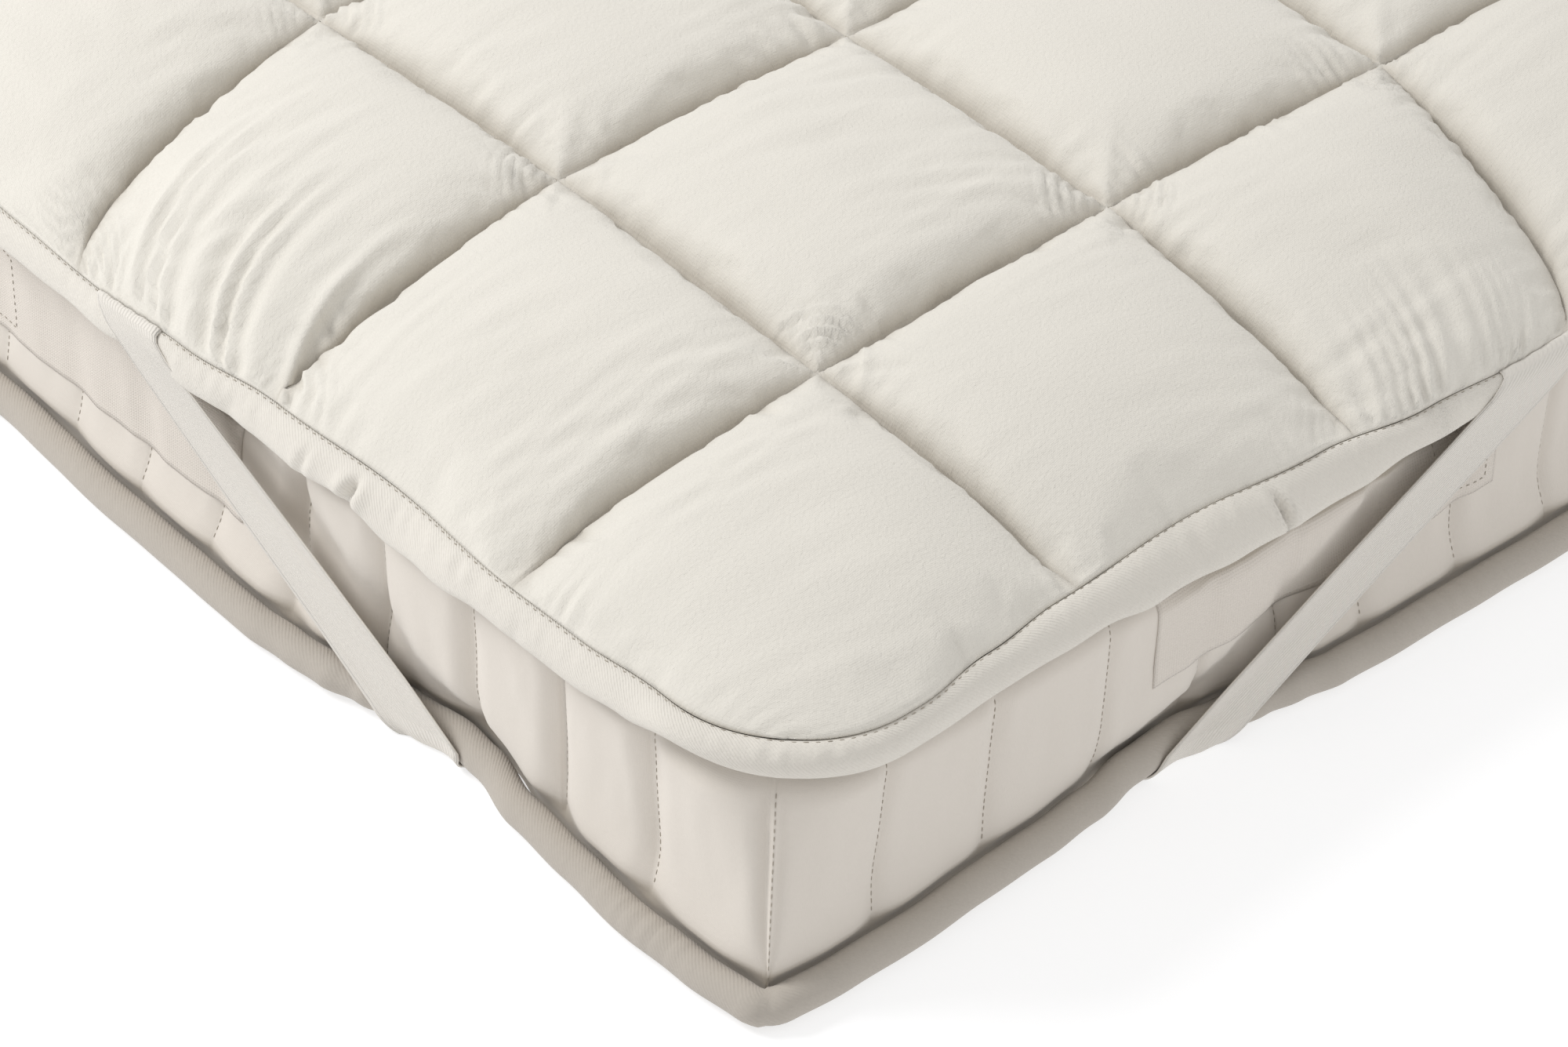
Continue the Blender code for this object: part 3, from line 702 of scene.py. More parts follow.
swellSet = {
    "cells": 3,                  # cells each way, at the corner that shows, that are simulated
    "frames": 18,
    "quality": 4,
    "pressure": 1.2,
    "spareCloth": 0.008,         # how much more cloth than the shape has
    "stiffness": 15.0,
    "bending": 0.15,
    "damping": 4.0,
    "mass": 0.15,
    "cap": 0.0070,               # farthest that a point may move
}


def swellCells(points, flat, u, v):
    # let the cells at one corner swell as cloth that its stitches hold, and return how far it moved
    sizeU = int((u[0] < swellSet["cells"] + 1e-6).sum())
    sizeV = int((v[:, 0] < swellSet["cells"] + 1e-6).sum())
    patch = points[:sizeV, :sizeU]
    trial = gridPiece("quiltTrial", patch, flat[:sizeV, :sizeU], cloth["brushed_cotton"])
    onLine = (np.abs(u - np.rint(u)) < 1e-6) | (np.abs(v - np.rint(v)) < 1e-6)
    group = trial.vertex_groups.new(name="stitched")
    group.add(np.where(onLine[:sizeV, :sizeU].ravel())[0].tolist(), 1.0, "REPLACE")
    swell = trial.modifiers.new("Cloth", "CLOTH")
    rules = swell.settings
    rules.quality = swellSet["quality"]
    rules.mass = swellSet["mass"]
    rules.air_damping = swellSet["damping"]
    rules.tension_stiffness = swellSet["stiffness"]
    rules.compression_stiffness = swellSet["stiffness"]
    rules.shear_stiffness = swellSet["stiffness"] / 3
    rules.bending_stiffness = swellSet["bending"]
    rules.vertex_group_mass = "stitched"
    rules.shrink_min = -swellSet["spareCloth"]
    rules.use_pressure = True
    rules.uniform_pressure_force = swellSet["pressure"]
    rules.effector_weights.gravity = 0
    swell.collision_settings.use_collision = False
    swell.point_cache.frame_start = 1
    swell.point_cache.frame_end = swellSet["frames"]
    for moment in range(1, swellSet["frames"] + 1):
        bpy.context.scene.frame_set(moment)
    result = trial.evaluated_get(bpy.context.evaluated_depsgraph_get()).data
    found = np.empty(len(result.vertices) * 3)
    result.vertices.foreach_get("co", found)
    moved = found.reshape(patch.shape) - patch
    bpy.data.objects.remove(trial)
    bpy.context.scene.frame_set(1)
    size = np.linalg.norm(moved, axis=2)
    print("cells swollen as cloth, at most", round(float(size.max()) * 1000, 1), "mm, half of it under",
          round(float(np.median(size)) * 1000, 2), "mm")
    return moved * (swellSet["cap"] * np.tanh(size / swellSet["cap"]) / np.maximum(size, 1e-9))[..., None]


def spreadSwell(moved, shape, stops):
    # the simulated cells' shape copied and mirrored over all the cells, from the stops of both axes
    source = np.random.default_rng(29)
    whole = np.zeros(shape)
    known = swellSet["cells"]
    counts = (bed["cellsAcross"], bed["cellsAlong"])
    for i in range(counts[0]):
        for j in range(counts[1]):
            picks = []
            for axis, cell in enumerate((i, j)):
                fromEnd = min(cell, counts[axis] - 1 - cell)
                pick = fromEnd if fromEnd < known else int(source.integers(1, known))
                flip = cell >= known and (cell > fromEnd or source.uniform() < 0.5)
                first, last = np.searchsorted(stops[axis], (cell - 1e-6, cell + 1 + 1e-6))
                step = stops[axis][first:last] - cell
                step = 1 - step if flip else step
                spot = np.interp(pick + step, stops[axis], np.arange(len(stops[axis])))
                low = np.minimum(np.floor(spot).astype(int), moved.shape[1 - axis] - 2)
                picks.append((first, last, low, spot - low, flip))
            (firstU, lastU, lowU, shareU, flipU), (firstV, lastV, lowV, shareV, flipV) = picks
            shareU, shareV = shareU[None, :, None], shareV[:, None, None]
            near = moved[lowV][:, lowU] * (1 - shareU) + moved[lowV][:, lowU + 1] * shareU
            far = moved[lowV + 1][:, lowU] * (1 - shareU) + moved[lowV + 1][:, lowU + 1] * shareU
            block = near * (1 - shareV) + far * shareV
            whole[firstV:lastV, firstU:lastU] = block * (-1 if flipU else 1, -1 if flipV else 1, 1)
    return whole


def paintValleyShade(piece, u, v):
    # painted shade for the cloth's material: 1 on a quilting line and 0 away from it
    shade = np.zeros_like(u)
    ways = ((u, v, bed["cellsAcross"], cellWidth), (v, u, bed["cellsAlong"], cellLength))
    for place, beside, count, size in ways:
        fromLine = np.abs(place - np.rint(place)) * size
        inner = smoothStep(np.minimum(place, count - place), 0.4, 0.6)
        between = 0.45 + 0.55 * np.abs(np.sin(np.pi * beside)) ** 0.5
        uneven = 0.9 + 0.1 * wavyField(u, v, 77, 0.05, 0.2)
        line = np.exp(-(fromLine / quiltSet["paintedShadeReach"]) ** 1.3) * inner * between * uneven
        shade = np.maximum(shade, quiltSet["paintedShadeStrength"] * line)
    paintShadeOnPoints(piece, shade)


def makeQuiltTop():
    columns = gradedStops(bed["cellsAcross"])
    rows = gradedStops(bed["cellsAlong"])
    u, v = np.meshgrid(columns, rows)
    points = quiltSurface(u, v, quiltSet["softenPasses"])
    flat = np.stack([u * cellWidth, v * cellLength], axis=2)
    points = points + spreadSwell(swellCells(points, flat, u, v), points.shape, (columns, rows))
    normals = surfaceNormals(points)
    puff = np.abs(np.sin(np.pi * u) * np.sin(np.pi * v)) ** 0.4
    lumps = wavyField(points[..., 0], points[..., 1], 11, 0.07, 0.20)
    streaks = wavyField(points[..., 0], points[..., 1], 12, 0.012, 0.04, heading=80.0, spread=16.0)
    patches = 0.5 + 0.5 * wavyField(points[..., 0], points[..., 1], 13, 0.15, 0.4)
    relief = quiltSet["lumpHeight"] * lumps * puff
    relief += quiltSet["streakHeight"] * streaks * patches * puff
    relief += crossingArcs(u, v) + linePuckers(u, v)
    relief += strapGathers(points[..., 0], points[..., 1])
    points = points + normals * relief[..., None]
    piece = gridPiece("padQuilt", points, flat, cloth["brushed_cotton"])
    paintValleyShade(piece, u, v)
    return piece, columns, rows


padQuilt, quiltColumns, quiltRows = makeQuiltTop()
print("quilted top:", len(padQuilt.data.polygons), "faces")


# Binding round the pad

bindingSet = {
    "footInset": 0.003,
    "leastLean": 0.004,
    "stationsPerCell": 84,
    "sides": 26,
    "rimGap": 0.0006,
    "undersideStep": 0.020,
    "girth": 0.068,
    # tucks across the strip: side, distance from the corner, depth and width
    "tucks": (("long", 0.346, 0.0058, 0.0032), ("long", 0.385, 0.0020, 0.0025),
              ("long", 0.452, 0.0014, 0.0060), ("short", 0.381, 0.0072, 0.0023),
              ("short", 0.318, 0.0014, 0.0040), ("long", 0.200, 0.0008, 0.0040)),
}
bindingTable = {
    # by distance from a corner: thickness of the strip's roll and height of its foot, by side
    "from": (0.00, 0.03, 0.08, 0.12, 0.16, 0.20, 0.24, 0.28, 0.31,
             0.35, 0.40, 0.44, 0.48, 0.52, 0.60, 0.68, 0.80, 1.00),
    "longThick": (0.0165, 0.0165, 0.0155, 0.0140, 0.0130, 0.0125, 0.0125, 0.0125, 0.0125,
                  0.0130, 0.0145, 0.0145, 0.0120, 0.0095, 0.0095, 0.0115, 0.0125, 0.0125),
    "shortThick": (0.0165, 0.0165, 0.0155, 0.0140, 0.0130, 0.0125, 0.0125, 0.0125, 0.0125,
                   0.0125, 0.0125, 0.0125, 0.0120, 0.0105, 0.0095, 0.0100, 0.0125, 0.0125),
    "longFoot": (0.1405, 0.1405, 0.1440, 0.1360, 0.1305, 0.1305, 0.1310, 0.1275, 0.1250,
                 0.1340, 0.1320, 0.1295, 0.1320, 0.1320, 0.1280, 0.1310, 0.1330, 0.1330),
    "shortFoot": (0.1405, 0.1405, 0.1380, 0.1380, 0.1400, 0.1410, 0.1400, 0.1360, 0.1345,
                  0.1330, 0.1305, 0.1315, 0.1350, 0.1330, 0.1310, 0.1310, 0.1330, 0.1330),
}


def seamPlaces(perCell):
    across, along = bed["cellsAcross"], bed["cellsAlong"]
    s = np.arange(across * perCell) / perCell
    t = np.arange(along * perCell) / perCell
    u = np.concatenate([s, np.full_like(t, across), across - s, np.zeros_like(t)])
    v = np.concatenate([np.zeros_like(s), t, np.full_like(s, along), along - t])
    return u, v


def sideDistances(points):
    # distances from the two nearest sides of the bed
    return bed["width"] / 2 - np.abs(points[..., 0]), bed["length"] / 2 - np.abs(points[..., 1])


def bindingSections(u, v):
    seam = quiltSurface(u, v)
    normals = levelNormals(seam)
    x, y = sideDistances(seam)
    radius = quiltSet["seamRadius"]
    inX, inY = x - bindingSet["footInset"], y - bindingSet["footInset"]
    rounded = radius - np.hypot(radius - inX, radius - inY)
    lean = np.where((inX < radius) & (inY < radius), rounded, np.minimum(inX, inY))
    lean = np.maximum(lean, bindingSet["leastLean"])
    foot, thick = (np.where(x < y, easedValue(bindingTable, "long" + name, y),
                            easedValue(bindingTable, "short" + name, x)) for name in ("Foot", "Thick"))
    rise = seam[:, 2] - foot
    centre = seam.copy()
    centre[:, :2] += normals * lean[:, None] / 2
    centre[:, 2] = (seam[:, 2] + foot) / 2
    return {"centre": centre, "normal": normals, "half": np.hypot(lean, rise) / 2,
            "tilt": np.arctan2(rise, lean), "thick": thick, "x": x, "y": y}


def rollPoints(sections, thick, tall):
    # points of the binding's sections from their thickness and height in the section
    tilt = sections["tilt"][:, None]
    outward = thick * np.sin(tilt) - tall * np.cos(tilt)
    upward = thick * np.cos(tilt) + tall * np.sin(tilt)
    level = sections["centre"][:, None, :2] + sections["normal"][:, None, :] * outward[..., None]
    return raised(level, sections["centre"][:, None, 2] + upward)


def rollLine(sections, degrees, gap=0.0, outward=0.0):
    # the line round the binding's roll at one angle of its sections, a gap off it
    angle = math.radians(degrees)
    thick = (sections["thick"][:, None] / 2 + gap) * math.cos(angle) + outward
    tall = (sections["half"][:, None] + gap) * math.sin(angle)
    return rollPoints(sections, thick, tall)[:, 0]


def makeBinding():
    u, v = seamPlaces(bindingSet["stationsPerCell"])
    sections = bindingSections(u, v)
    stations = len(u)
    angle = 2 * np.pi * np.arange(bindingSet["sides"]) / bindingSet["sides"]
    angle = np.broadcast_to(angle, (stations, bindingSet["sides"]))
    along = travelRound(sections["centre"])
    fromCorner = np.maximum(sections["x"], sections["y"])
    strip = smoothStep(fromCorner, 0.10, 0.30)[:, None]
    down = np.sin(angle)
    fuller = 1 - np.abs(np.minimum(down, 0)) ** (2 + 1.6 * strip)
    thick = np.cos(angle)
    thick = np.where(down < 0, np.sign(thick) * np.sqrt(np.maximum(0, fuller)), thick)
    thick = thick * sections["thick"][:, None] / 2
    tall = down * sections["half"][:, None]
    outer = np.clip(np.cos(angle), 0, 1)
    ripple = wavyLine(along, 71, 0.007, 0.022)[:, None]
    patch = 0.6 + 0.4 * wavyLine(along, 72, 0.1, 0.3, 3)[:, None]
    slow = wavyLine(along, 73, 0.05, 0.16)[:, None]
    thick = thick + outer * (0.00060 * ripple * patch * smoothStep(down, -0.3, 0.7) + 0.0006 * slow * strip)
    thick = thick - outer * 0.0006 * np.exp(-((down - 0.80) / 0.12) ** 2)
    tall = tall + np.minimum(down, 0) * 0.0012 * slow * strip
    isLong = sections["x"] < sections["y"]
    for side, place, depth, width in bindingSet["tucks"]:
        away = np.where(isLong == (side == "long"), fromCorner - place, 1.0)[:, None]
        away = away + 0.004 * down
        lips = 0.45 * np.exp(-((np.abs(away) - 2.6 * width) / (1.4 * width)) ** 2)
        fold = np.exp(-(away / width) ** 2) - lips
        thick = thick - outer * depth * fold * smoothStep(-down, -0.9, 0.3)
    points = rollPoints(sections, thick, tall)
    return tubePiece("padBinding", points, bindingSet["girth"], along[-1], cloth["binding_twill"])


padBinding = makeBinding()
print("binding:", len(padBinding.data.polygons), "faces")


def closeQuilt(piece, columns, rows):
    # carry the rim of the quilted top down behind the binding and close it underneath
    sizeU, sizeV = len(columns), len(rows)
    order = [(i, 0) for i in range(sizeU - 1)] + [(sizeU - 1, j) for j in range(sizeV - 1)]
    order += [(i, sizeV - 1) for i in range(sizeU - 1, 0, -1)] + [(0, j) for j in range(sizeV - 1, 0, -1)]
    i, j = np.array(order).T
    u, v = columns[i], rows[j]
    sections = bindingSections(u, v)
    loops = [rollLine(sections, degrees, bindingSet["rimGap"]) for degrees in (92, 115, 145, 180)]
    under = loops[-1].copy()
    under[:, :2] -= sections["normal"] * bindingSet["undersideStep"]
    under[:, 2] = bed["mattressTop"] + 0.0004
    shape = bmesh.new()
    shape.from_mesh(piece.data)
    shape.verts.ensure_lookup_table()
    rim = [shape.verts[index] for index in (i + j * sizeU).tolist()]
    for vert, place in zip(rim, loops[0]):
        vert.co = place
    uvLayer = shape.loops.layers.uv.active
    flat = np.stack([u * cellWidth, v * cellLength], axis=1)
    for loop in loops[1:] + [under]:
        below = [shape.verts.new(place, vert) for place, vert in zip(loop, rim)]
        for k in range(len(rim)):
            face = shape.faces.new((rim[k], rim[k - 1], below[k - 1], below[k]))
            for corner, number in zip(face.loops, (k, k - 1, k - 1, k)):
                corner[uvLayer].uv = flat[number]
        rim = below
    shape.faces.new(rim)
    for face in shape.faces:
        if face.calc_center_median().z < quiltSet["seamHeight"]:
            for corner in face.loops:
                corner[uvLayer].uv = corner.vert.co.xy
    bmesh.ops.recalc_face_normals(shape, faces=shape.faces)
    shape.to_mesh(piece.data)
    shape.free()


closeQuilt(padQuilt, quiltColumns, quiltRows)
finishPiece(padQuilt, "brushed_cotton", "pad_quilt")
finishPiece(padBinding, "binding_twill", "pad_binding")
print("pad closed")


# Mattress: outline, piping and body

pipingTable = {
    # by distance from a corner: how far its outer side stands inside the nominal edge
    "long": {"from": (0.00, 0.05, 0.10, 0.15, 0.20, 0.245, 0.268, 0.31,
                      0.335, 0.36, 0.39, 0.42, 0.55, 0.675, 1.00),
             "inset": (-0.0120, -0.0160, -0.0175, -0.0136, -0.0090, 0.0010, 0.0030, -0.0030,
                       -0.0110, -0.0180, -0.0215, -0.0240, -0.0220, -0.0150, -0.0120)},
    "short": {"from": (0.00, 0.05, 0.10, 0.15, 0.20, 0.24, 0.28, 0.32,
                       0.35, 0.375, 0.40, 0.43, 0.48, 0.62, 0.80),
              "inset": (-0.0100, -0.0135, -0.0140, -0.0110, -0.0095, -0.0060, 0.0010, 0.0030,
                        -0.0020, -0.0055, -0.0105, -0.0160, -0.0185, -0.0215, -0.0160)},
}
pipingSet = {
    "radius": 0.0108,
    "height": 0.0105,
    "corner": 0.0125,
    "stationsPerMetre": 330,
    "sides": 22,
    "pleatDepth": 0.00035,
}
strapTable = {
    # by height: how far from the corner the strap's two edges are, on each side of the bed
    "height": (0.000, 0.014, 0.040, 0.080, 0.125, 0.150),
    "long": {"near": (0.259, 0.254, 0.297, 0.376, 0.468, 0.519),
             "far": (0.302, 0.324, 0.371, 0.449, 0.532, 0.575)},
    "short": {"near": (0.288, 0.297, 0.3435, 0.420, 0.509, 0.558),
              "far": (0.341, 0.364, 0.416, 0.500, 0.598, 0.645)},
}
strapSet = {
    "thickness": 0.0012,
    "gap": 0.0004,
    "pucker": 0.0012,            # height of the small folds at the strap's sewn end, and their number
    "puckers": 5,
    "recess": 0.0018,
    "flatWidth": 0.036,
}


def outlinePlaces(shortStops, longStops):
    # places round the bed, anticlockwise from its first corner, from the stops along a side
    short, turn, end, distance = [], [], [], []
    for way in (1, -1):
        for isShort, size, stops in ((True, bed["width"], shortStops), (False, bed["length"], longStops)):
            stops = np.asarray(stops)
            short.append(np.full(len(stops), isShort))
            turn.append(np.full(len(stops), way))
            end.append(np.where(stops < size / 2, -1, 1))
            distance.append(np.minimum(stops, size - stops))
    return {"short": np.concatenate(short), "turn": np.concatenate(turn), "end": np.concatenate(end),
            "distance": np.concatenate(distance)}


def outlinePoints(places, radius):
    short, turn, end, distance = (places[key] for key in ("short", "turn", "end", "distance"))
    zero = np.zeros_like(distance)
    x, y = roundCorner(np.where(short, distance, zero), np.where(short, zero, distance), radius)
    onX = np.where(short, turn * end, turn) * (bed["width"] / 2 - x)
    onY = np.where(short, -turn, turn * end) * (bed["length"] / 2 - y)
    return np.stack([onX, onY], axis=1)


def bySide(places, values):
    # a value of the short or the long side at places round the bed
    return np.where(places["short"], values["short"], values["long"])


def pipingInset(places):
    # inset of the piping's centre line at places round the bed
    insets = {side: easedValue(pipingTable[side], "inset", places["distance"]) for side in pipingTable}
    return bySide(places, insets) + pipingSet["radius"]


def atStrap(places, reach):
    # 1 where a strap passes under the foot of the mattress, 0 elsewhere
    ends = [(strapTable[side]["near"][0], strapTable[side]["far"][1]) for side in ("short", "long")]
    near = np.where(places["short"], ends[0][0], ends[1][0]) - 0.004
    far = np.where(places["short"], ends[0][1], ends[1][1]) + 0.001
    return window(places["distance"], near - reach, near, far, far + reach)


def makePiping():
    arc = pipingSet["corner"] * math.pi / 4
    stops = []
    for size in (bed["width"], bed["length"]):
        count = round(size * pipingSet["stationsPerMetre"])
        stops.append(np.concatenate([np.linspace(0, arc, 5)[:-1], np.linspace(arc, size - arc, count),
                                     np.linspace(size - arc, size, 5)[1:-1]]))
    places = outlinePlaces(*stops)
    outline = outlinePoints(places, pipingSet["corner"])
    normals = levelNormals(outline)
    centre = outline - normals * pipingInset(places)[:, None]
    along = travelRound(centre)
    angle = 2 * np.pi * np.arange(pipingSet["sides"]) / pipingSet["sides"]
    patch = (0.5 + 0.5 * wavyLine(along, 92, 0.12, 0.3, 3))[:, None]
    fine = wavyLine(along, 91, 0.004, 0.013)[:, None] * patch
    slow = wavyLine(along, 93, 0.04, 0.15)[:, None]
    twist = 0.5 * wavyLine(along, 94, 0.10, 0.35, 4)[:, None]
    upper = np.clip(np.sin(angle + 0.5), 0, 1)[None, :]
    radius = pipingSet["radius"] + pipingSet["pleatDepth"] * fine * upper
    radius = radius - 0.0005 + 0.0005 * slow * np.cos(angle - 0.6 + twist)
    corner = np.exp(-(places["distance"] / 0.004) ** 2)[:, None]
    radius = radius - 0.0016 * corner * np.clip(np.sin(angle + 0.8), 0, 1)
    outward = radius * np.cos(angle)
    height = np.maximum(pipingSet["height"] + radius * np.sin(angle), 0)
    lift = strapSet["recess"] * atStrap(places, 0.012)[:, None]
    height = np.maximum(height, lift)
    points = raised(centre[:, None] + normals[:, None] * outward[..., None], height)
    girth = 2 * np.pi * pipingSet["radius"]
    piece = tubePiece("mattressPiping", points, girth, along[-1], cloth["piping_twill"])
    return finishPiece(piece, "piping_twill", "mattress_piping")


makePiping()
print("piping ready")


bodySet = {
    # seams between the upright channels, from a corner to the middle of the side
    "seams": {"long": (0, 0.1010, 0.1830, 0.2590, 0.3380, 0.4080, 0.4830, 0.5520, 0.6210),
              "short": (0, 0.0825, 0.1668, 0.2550, 0.3318, 0.3960, 0.4610, 0.5400, 0.6170)},
    "channels": {"long": 26, "short": 21},
    "seamDepth": {"long": 0.0095, "short": 0.0050},
    "flank": {"long": 0.0170, "short": 0.0110},      # reach of a channel's rounded edges
    "lean": {"long": 0.0030, "short": 0.0022},       # how far a seam shifts toward the corner at its foot
    "stationsPerChannel": 22,
    "squeeze": 0.55,
    "cornerRidge": 0.0005,
    "hollow": {"long": 0.0036, "short": 0.0062},     # depth of the hollow beside a strap
    "hollowPlace": 0.002,
    "hollowReach": 0.022,
    # under the binding's foot on the short sides: depth, height and width, from and to along the side
    "tuckedIn": (0.0050, 0.1195, 0.0040, 0.30, 0.47),
    "paintedGapShade": (0.62, 0.0205, 0.0275),              # painted shade in the gap over the piping: how dark, and its heights
}
bodyTable = {
    # by height: inset, whether the piping's own inset is added, share of the seam's depth, and
    # radius of the corner
    "height": (0.0018, 0.0145, 0.0235, 0.0450, 0.1200, 0.1345, 0.1415),
    "inset": (0.0140, 0.0127, 0.0070, 0.0072, 0.0090, 0.0190, 0.0450),
    "follows": (1, 1, 1, 0, 0, 0, 0),
    "share": (0.0, 0.0, 0.75, 1.0, 1.0, 0.6, 0.0),
    "radius": (0.012, 0.012, 0.012, 0.026, 0.075, 0.075, 0.075),
}
bodyHeights = np.concatenate([
    (0.0018, 0.005, 0.009, 0.012, 0.0145, 0.017, 0.0195, 0.0215, 0.0235, 0.0265, 0.031, 0.037),
    np.linspace(0.045, 0.108, 8), np.arange(0.1115, 0.1300, 0.0025), (0.1345, 0.138, 0.140, 0.1415)])


def channelSeams(side):
    # distances of all the seams along a side
    size = bed["length"] if side == "long" else bed["width"]
    known = bodySet["seams"][side]
    half = bodySet["channels"][side] / 2
    seams = [known[k] if k < len(known) else
             np.interp(k, (len(known) - 1, half), (known[-1], size / 2)) for k in range(int(half) + 1)]
    mirrored = [size - seam for seam in reversed(seams)]
    if half == int(half):
        mirrored = mirrored[1:]
    return np.array(seams + mirrored)


def channelStops(side):
    # stations over a side and where each lies in its channel, from 0 to 1
    seams = channelSeams(side)
    count = bodySet["stationsPerChannel"]
    step = np.arange(count) / count
    step = step - bodySet["squeeze"] * np.sin(2 * np.pi * step) / (2 * np.pi)
    stops = np.concatenate([a + (b - a) * step for a, b in zip(seams, seams[1:])])
    inside = np.tile(step, len(seams) - 1)
    number = np.repeat(np.arange(len(seams) - 1), count)
    return stops, inside, number


def strapHollow(side, distance, height):
    # how far the side is pressed in beside the inner edge of a strap
    line = np.interp(height, strapTable["height"], strapTable[side]["near"])
    across = (distance - line - bodySet["hollowPlace"]) / bodySet["hollowReach"]
    return bodySet["hollow"][side] * np.exp(-across ** 2) * window(height, 0.020, 0.035, 0.128, 0.138)


def bodyRings(places):
    # plain outline of the body at each of its heights, and its outward normals there
    rings = []
    for row in range(len(bodyTable["height"])):
        outline = outlinePoints(places, bodyTable["radius"][row])
        normals = levelNormals(outline)
        inset = bodyTable["inset"][row] + bodyTable["follows"][row] * pipingInset(places)
        rings.append(np.concatenate([outline - normals * np.broadcast_to(inset, len(outline))[:, None],
                                     normals], axis=1))
    rings = np.array(rings)
    low, share = tableSpot(np.array(bodyTable["height"]), bodyHeights)
    share = share[:, None, None]
    fine = rings[low] * (1 - share) + rings[low + 1] * share
    for _ in range(2):
        fine[1:-1] = (fine[:-2] + 2 * fine[1:-1] + fine[2:]) / 4
    return fine[..., :2], fine[..., 2:]


def makeBody():
    shortStops, shortInside, shortNumber = channelStops("short")
    longStops, longInside, longNumber = channelStops("long")
    places = outlinePlaces(shortStops, longStops)
    inside = np.concatenate([shortInside, longInside] * 2)
    number = np.concatenate([shortNumber, longNumber + 30, shortNumber + 60, longNumber + 90])
    rings, normals = bodyRings(places)
    source = np.random.default_rng(23)
    fuller = source.uniform(0.85, 1.15, 150)[number]
    skew = source.uniform(-0.12, 0.12, 150)[number]
    depth = bySide(places, bodySet["seamDepth"]) * fuller
    depth = depth * np.where(places["short"], 1, 1 - 0.6 * smoothStep(places["distance"], 0.40, 0.50))
    flank = bySide(places, bodySet["flank"])[None, :]
    flank = flank * (1 + 0.8 * np.exp(-((bodyHeights - 0.020) / 0.010) ** 2))[:, None]
    bulge = np.sin(np.pi * np.clip(inside + skew * np.sin(np.pi * inside) * 0.3, 0, 1))
    fromSeam = np.minimum(inside, 1 - inside) * 0.077
    swell = 0.15 * bulge + 0.85 * (1 - np.clip(1 - fromSeam / flank, 0, 1) ** 1.7)
    share = np.interp(bodyHeights, bodyTable["height"], bodyTable["share"])[:, None]
    sink = depth * (1 - swell) * share
    along = travelRound(rings[15])
    span, tall = np.meshgrid(along, bodyHeights)
    fade = np.sin(np.pi * np.clip((tall - 0.02) / 0.115, 0, 1))
    sink = sink + (0.0006 - 0.0006 * wavyField(span, tall, 31, 0.03, 0.09, heading=15, spread=25)) * fade
    sink = sink + 0.00035 * (1 - wavyField(span, tall, 32, 0.012, 0.03, heading=0, spread=35)) * fade * swell
    sink = sink + bySide(places, {side: strapHollow(side, places["distance"][None, :], tall)
                                  for side in ("short", "long")})
    deep, middle, width, start, end = bodySet["tuckedIn"]
    tucked = window(places["distance"], start, start + 0.05, end - 0.05, end) * places["short"]
    sink = sink + deep * np.exp(-((tall - middle) / width) ** 2) * tucked[None, :]
    ridge = np.exp(-(places["distance"] / 0.0035) ** 2) * share
    outward = bodySet["cornerRidge"] * ridge - sink * (1 - 0.8 * ridge)
    lean = bySide(places, bodySet["lean"]) * -places["end"]
    lean = lean * window(places["distance"], 0.03, 0.09, 0.70, 0.78) * ((tall - 0.08) / 0.05)
    tangents = np.stack([-normals[..., 1], normals[..., 0]], axis=-1)
    points = raised(rings + normals * outward[..., None] + tangents * lean[..., None], tall)
    wrapped = np.concatenate([points, points[:, :1]], axis=1)
    flat = np.stack([np.broadcast_to(np.append(along, along[-1] + 0.003), wrapped.shape[:2]),
                     np.broadcast_to(bodyHeights[:, None], wrapped.shape[:2])], axis=2)
    piece = gridPiece("mattressBody", wrapped, flat, cloth["mattress_sateen"])
    # painted shade along the gap over the piping, darker toward the bottom
    dark, low, high = bodySet["paintedGapShade"]
    paintShadeOnPoints(piece, dark * (1 - smoothStep(wrapped[..., 2], low, high)))
    editMesh(piece, ("remove_doubles", {"threshold": 1e-6}), ("select_all", {"action": "DESELECT"}),
             ("select_non_manifold", {}), ("fill_holes", {"sides": 0}), ("select_all", {"action": "SELECT"}),
             ("normals_make_consistent", {"inside": False}))
    return finishPiece(piece, "mattress_sateen", "mattress_body"), points


mattressBody, bodyPoints = makeBody()
print("mattress body:", len(mattressBody.data.polygons), "faces")


# Elastic straps round the corners, taut sheets with a thin edge

def rollCurve(side):
    # the binding's outer curve beside the first corner: along the side, inset and height
    sections = bindingSections(*seamPlaces(bindingSet["stationsPerCell"]))
    curves = []
    for degrees in (90, 78, 64, 48, 30, 12, 0):
        gap = strapSet["gap"] * (1 - 0.7 * math.sin(math.radians(degrees)) ** 4)
        x, y, z = rollLine(sections, degrees, strapSet["thickness"] / 2 + gap).T
        ours = (x < 0) & (y < 0)
        x, y, z = x[ours] + bed["width"] / 2, y[ours] + bed["length"] / 2, z[ours]
        near = x < y if side == "long" else y < x
        beside, inset = (y, x) if side == "long" else (x, y)
        order = np.argsort(beside[near])
        curves.append((beside[near][order], inset[near][order], z[near][order]))
    return curves


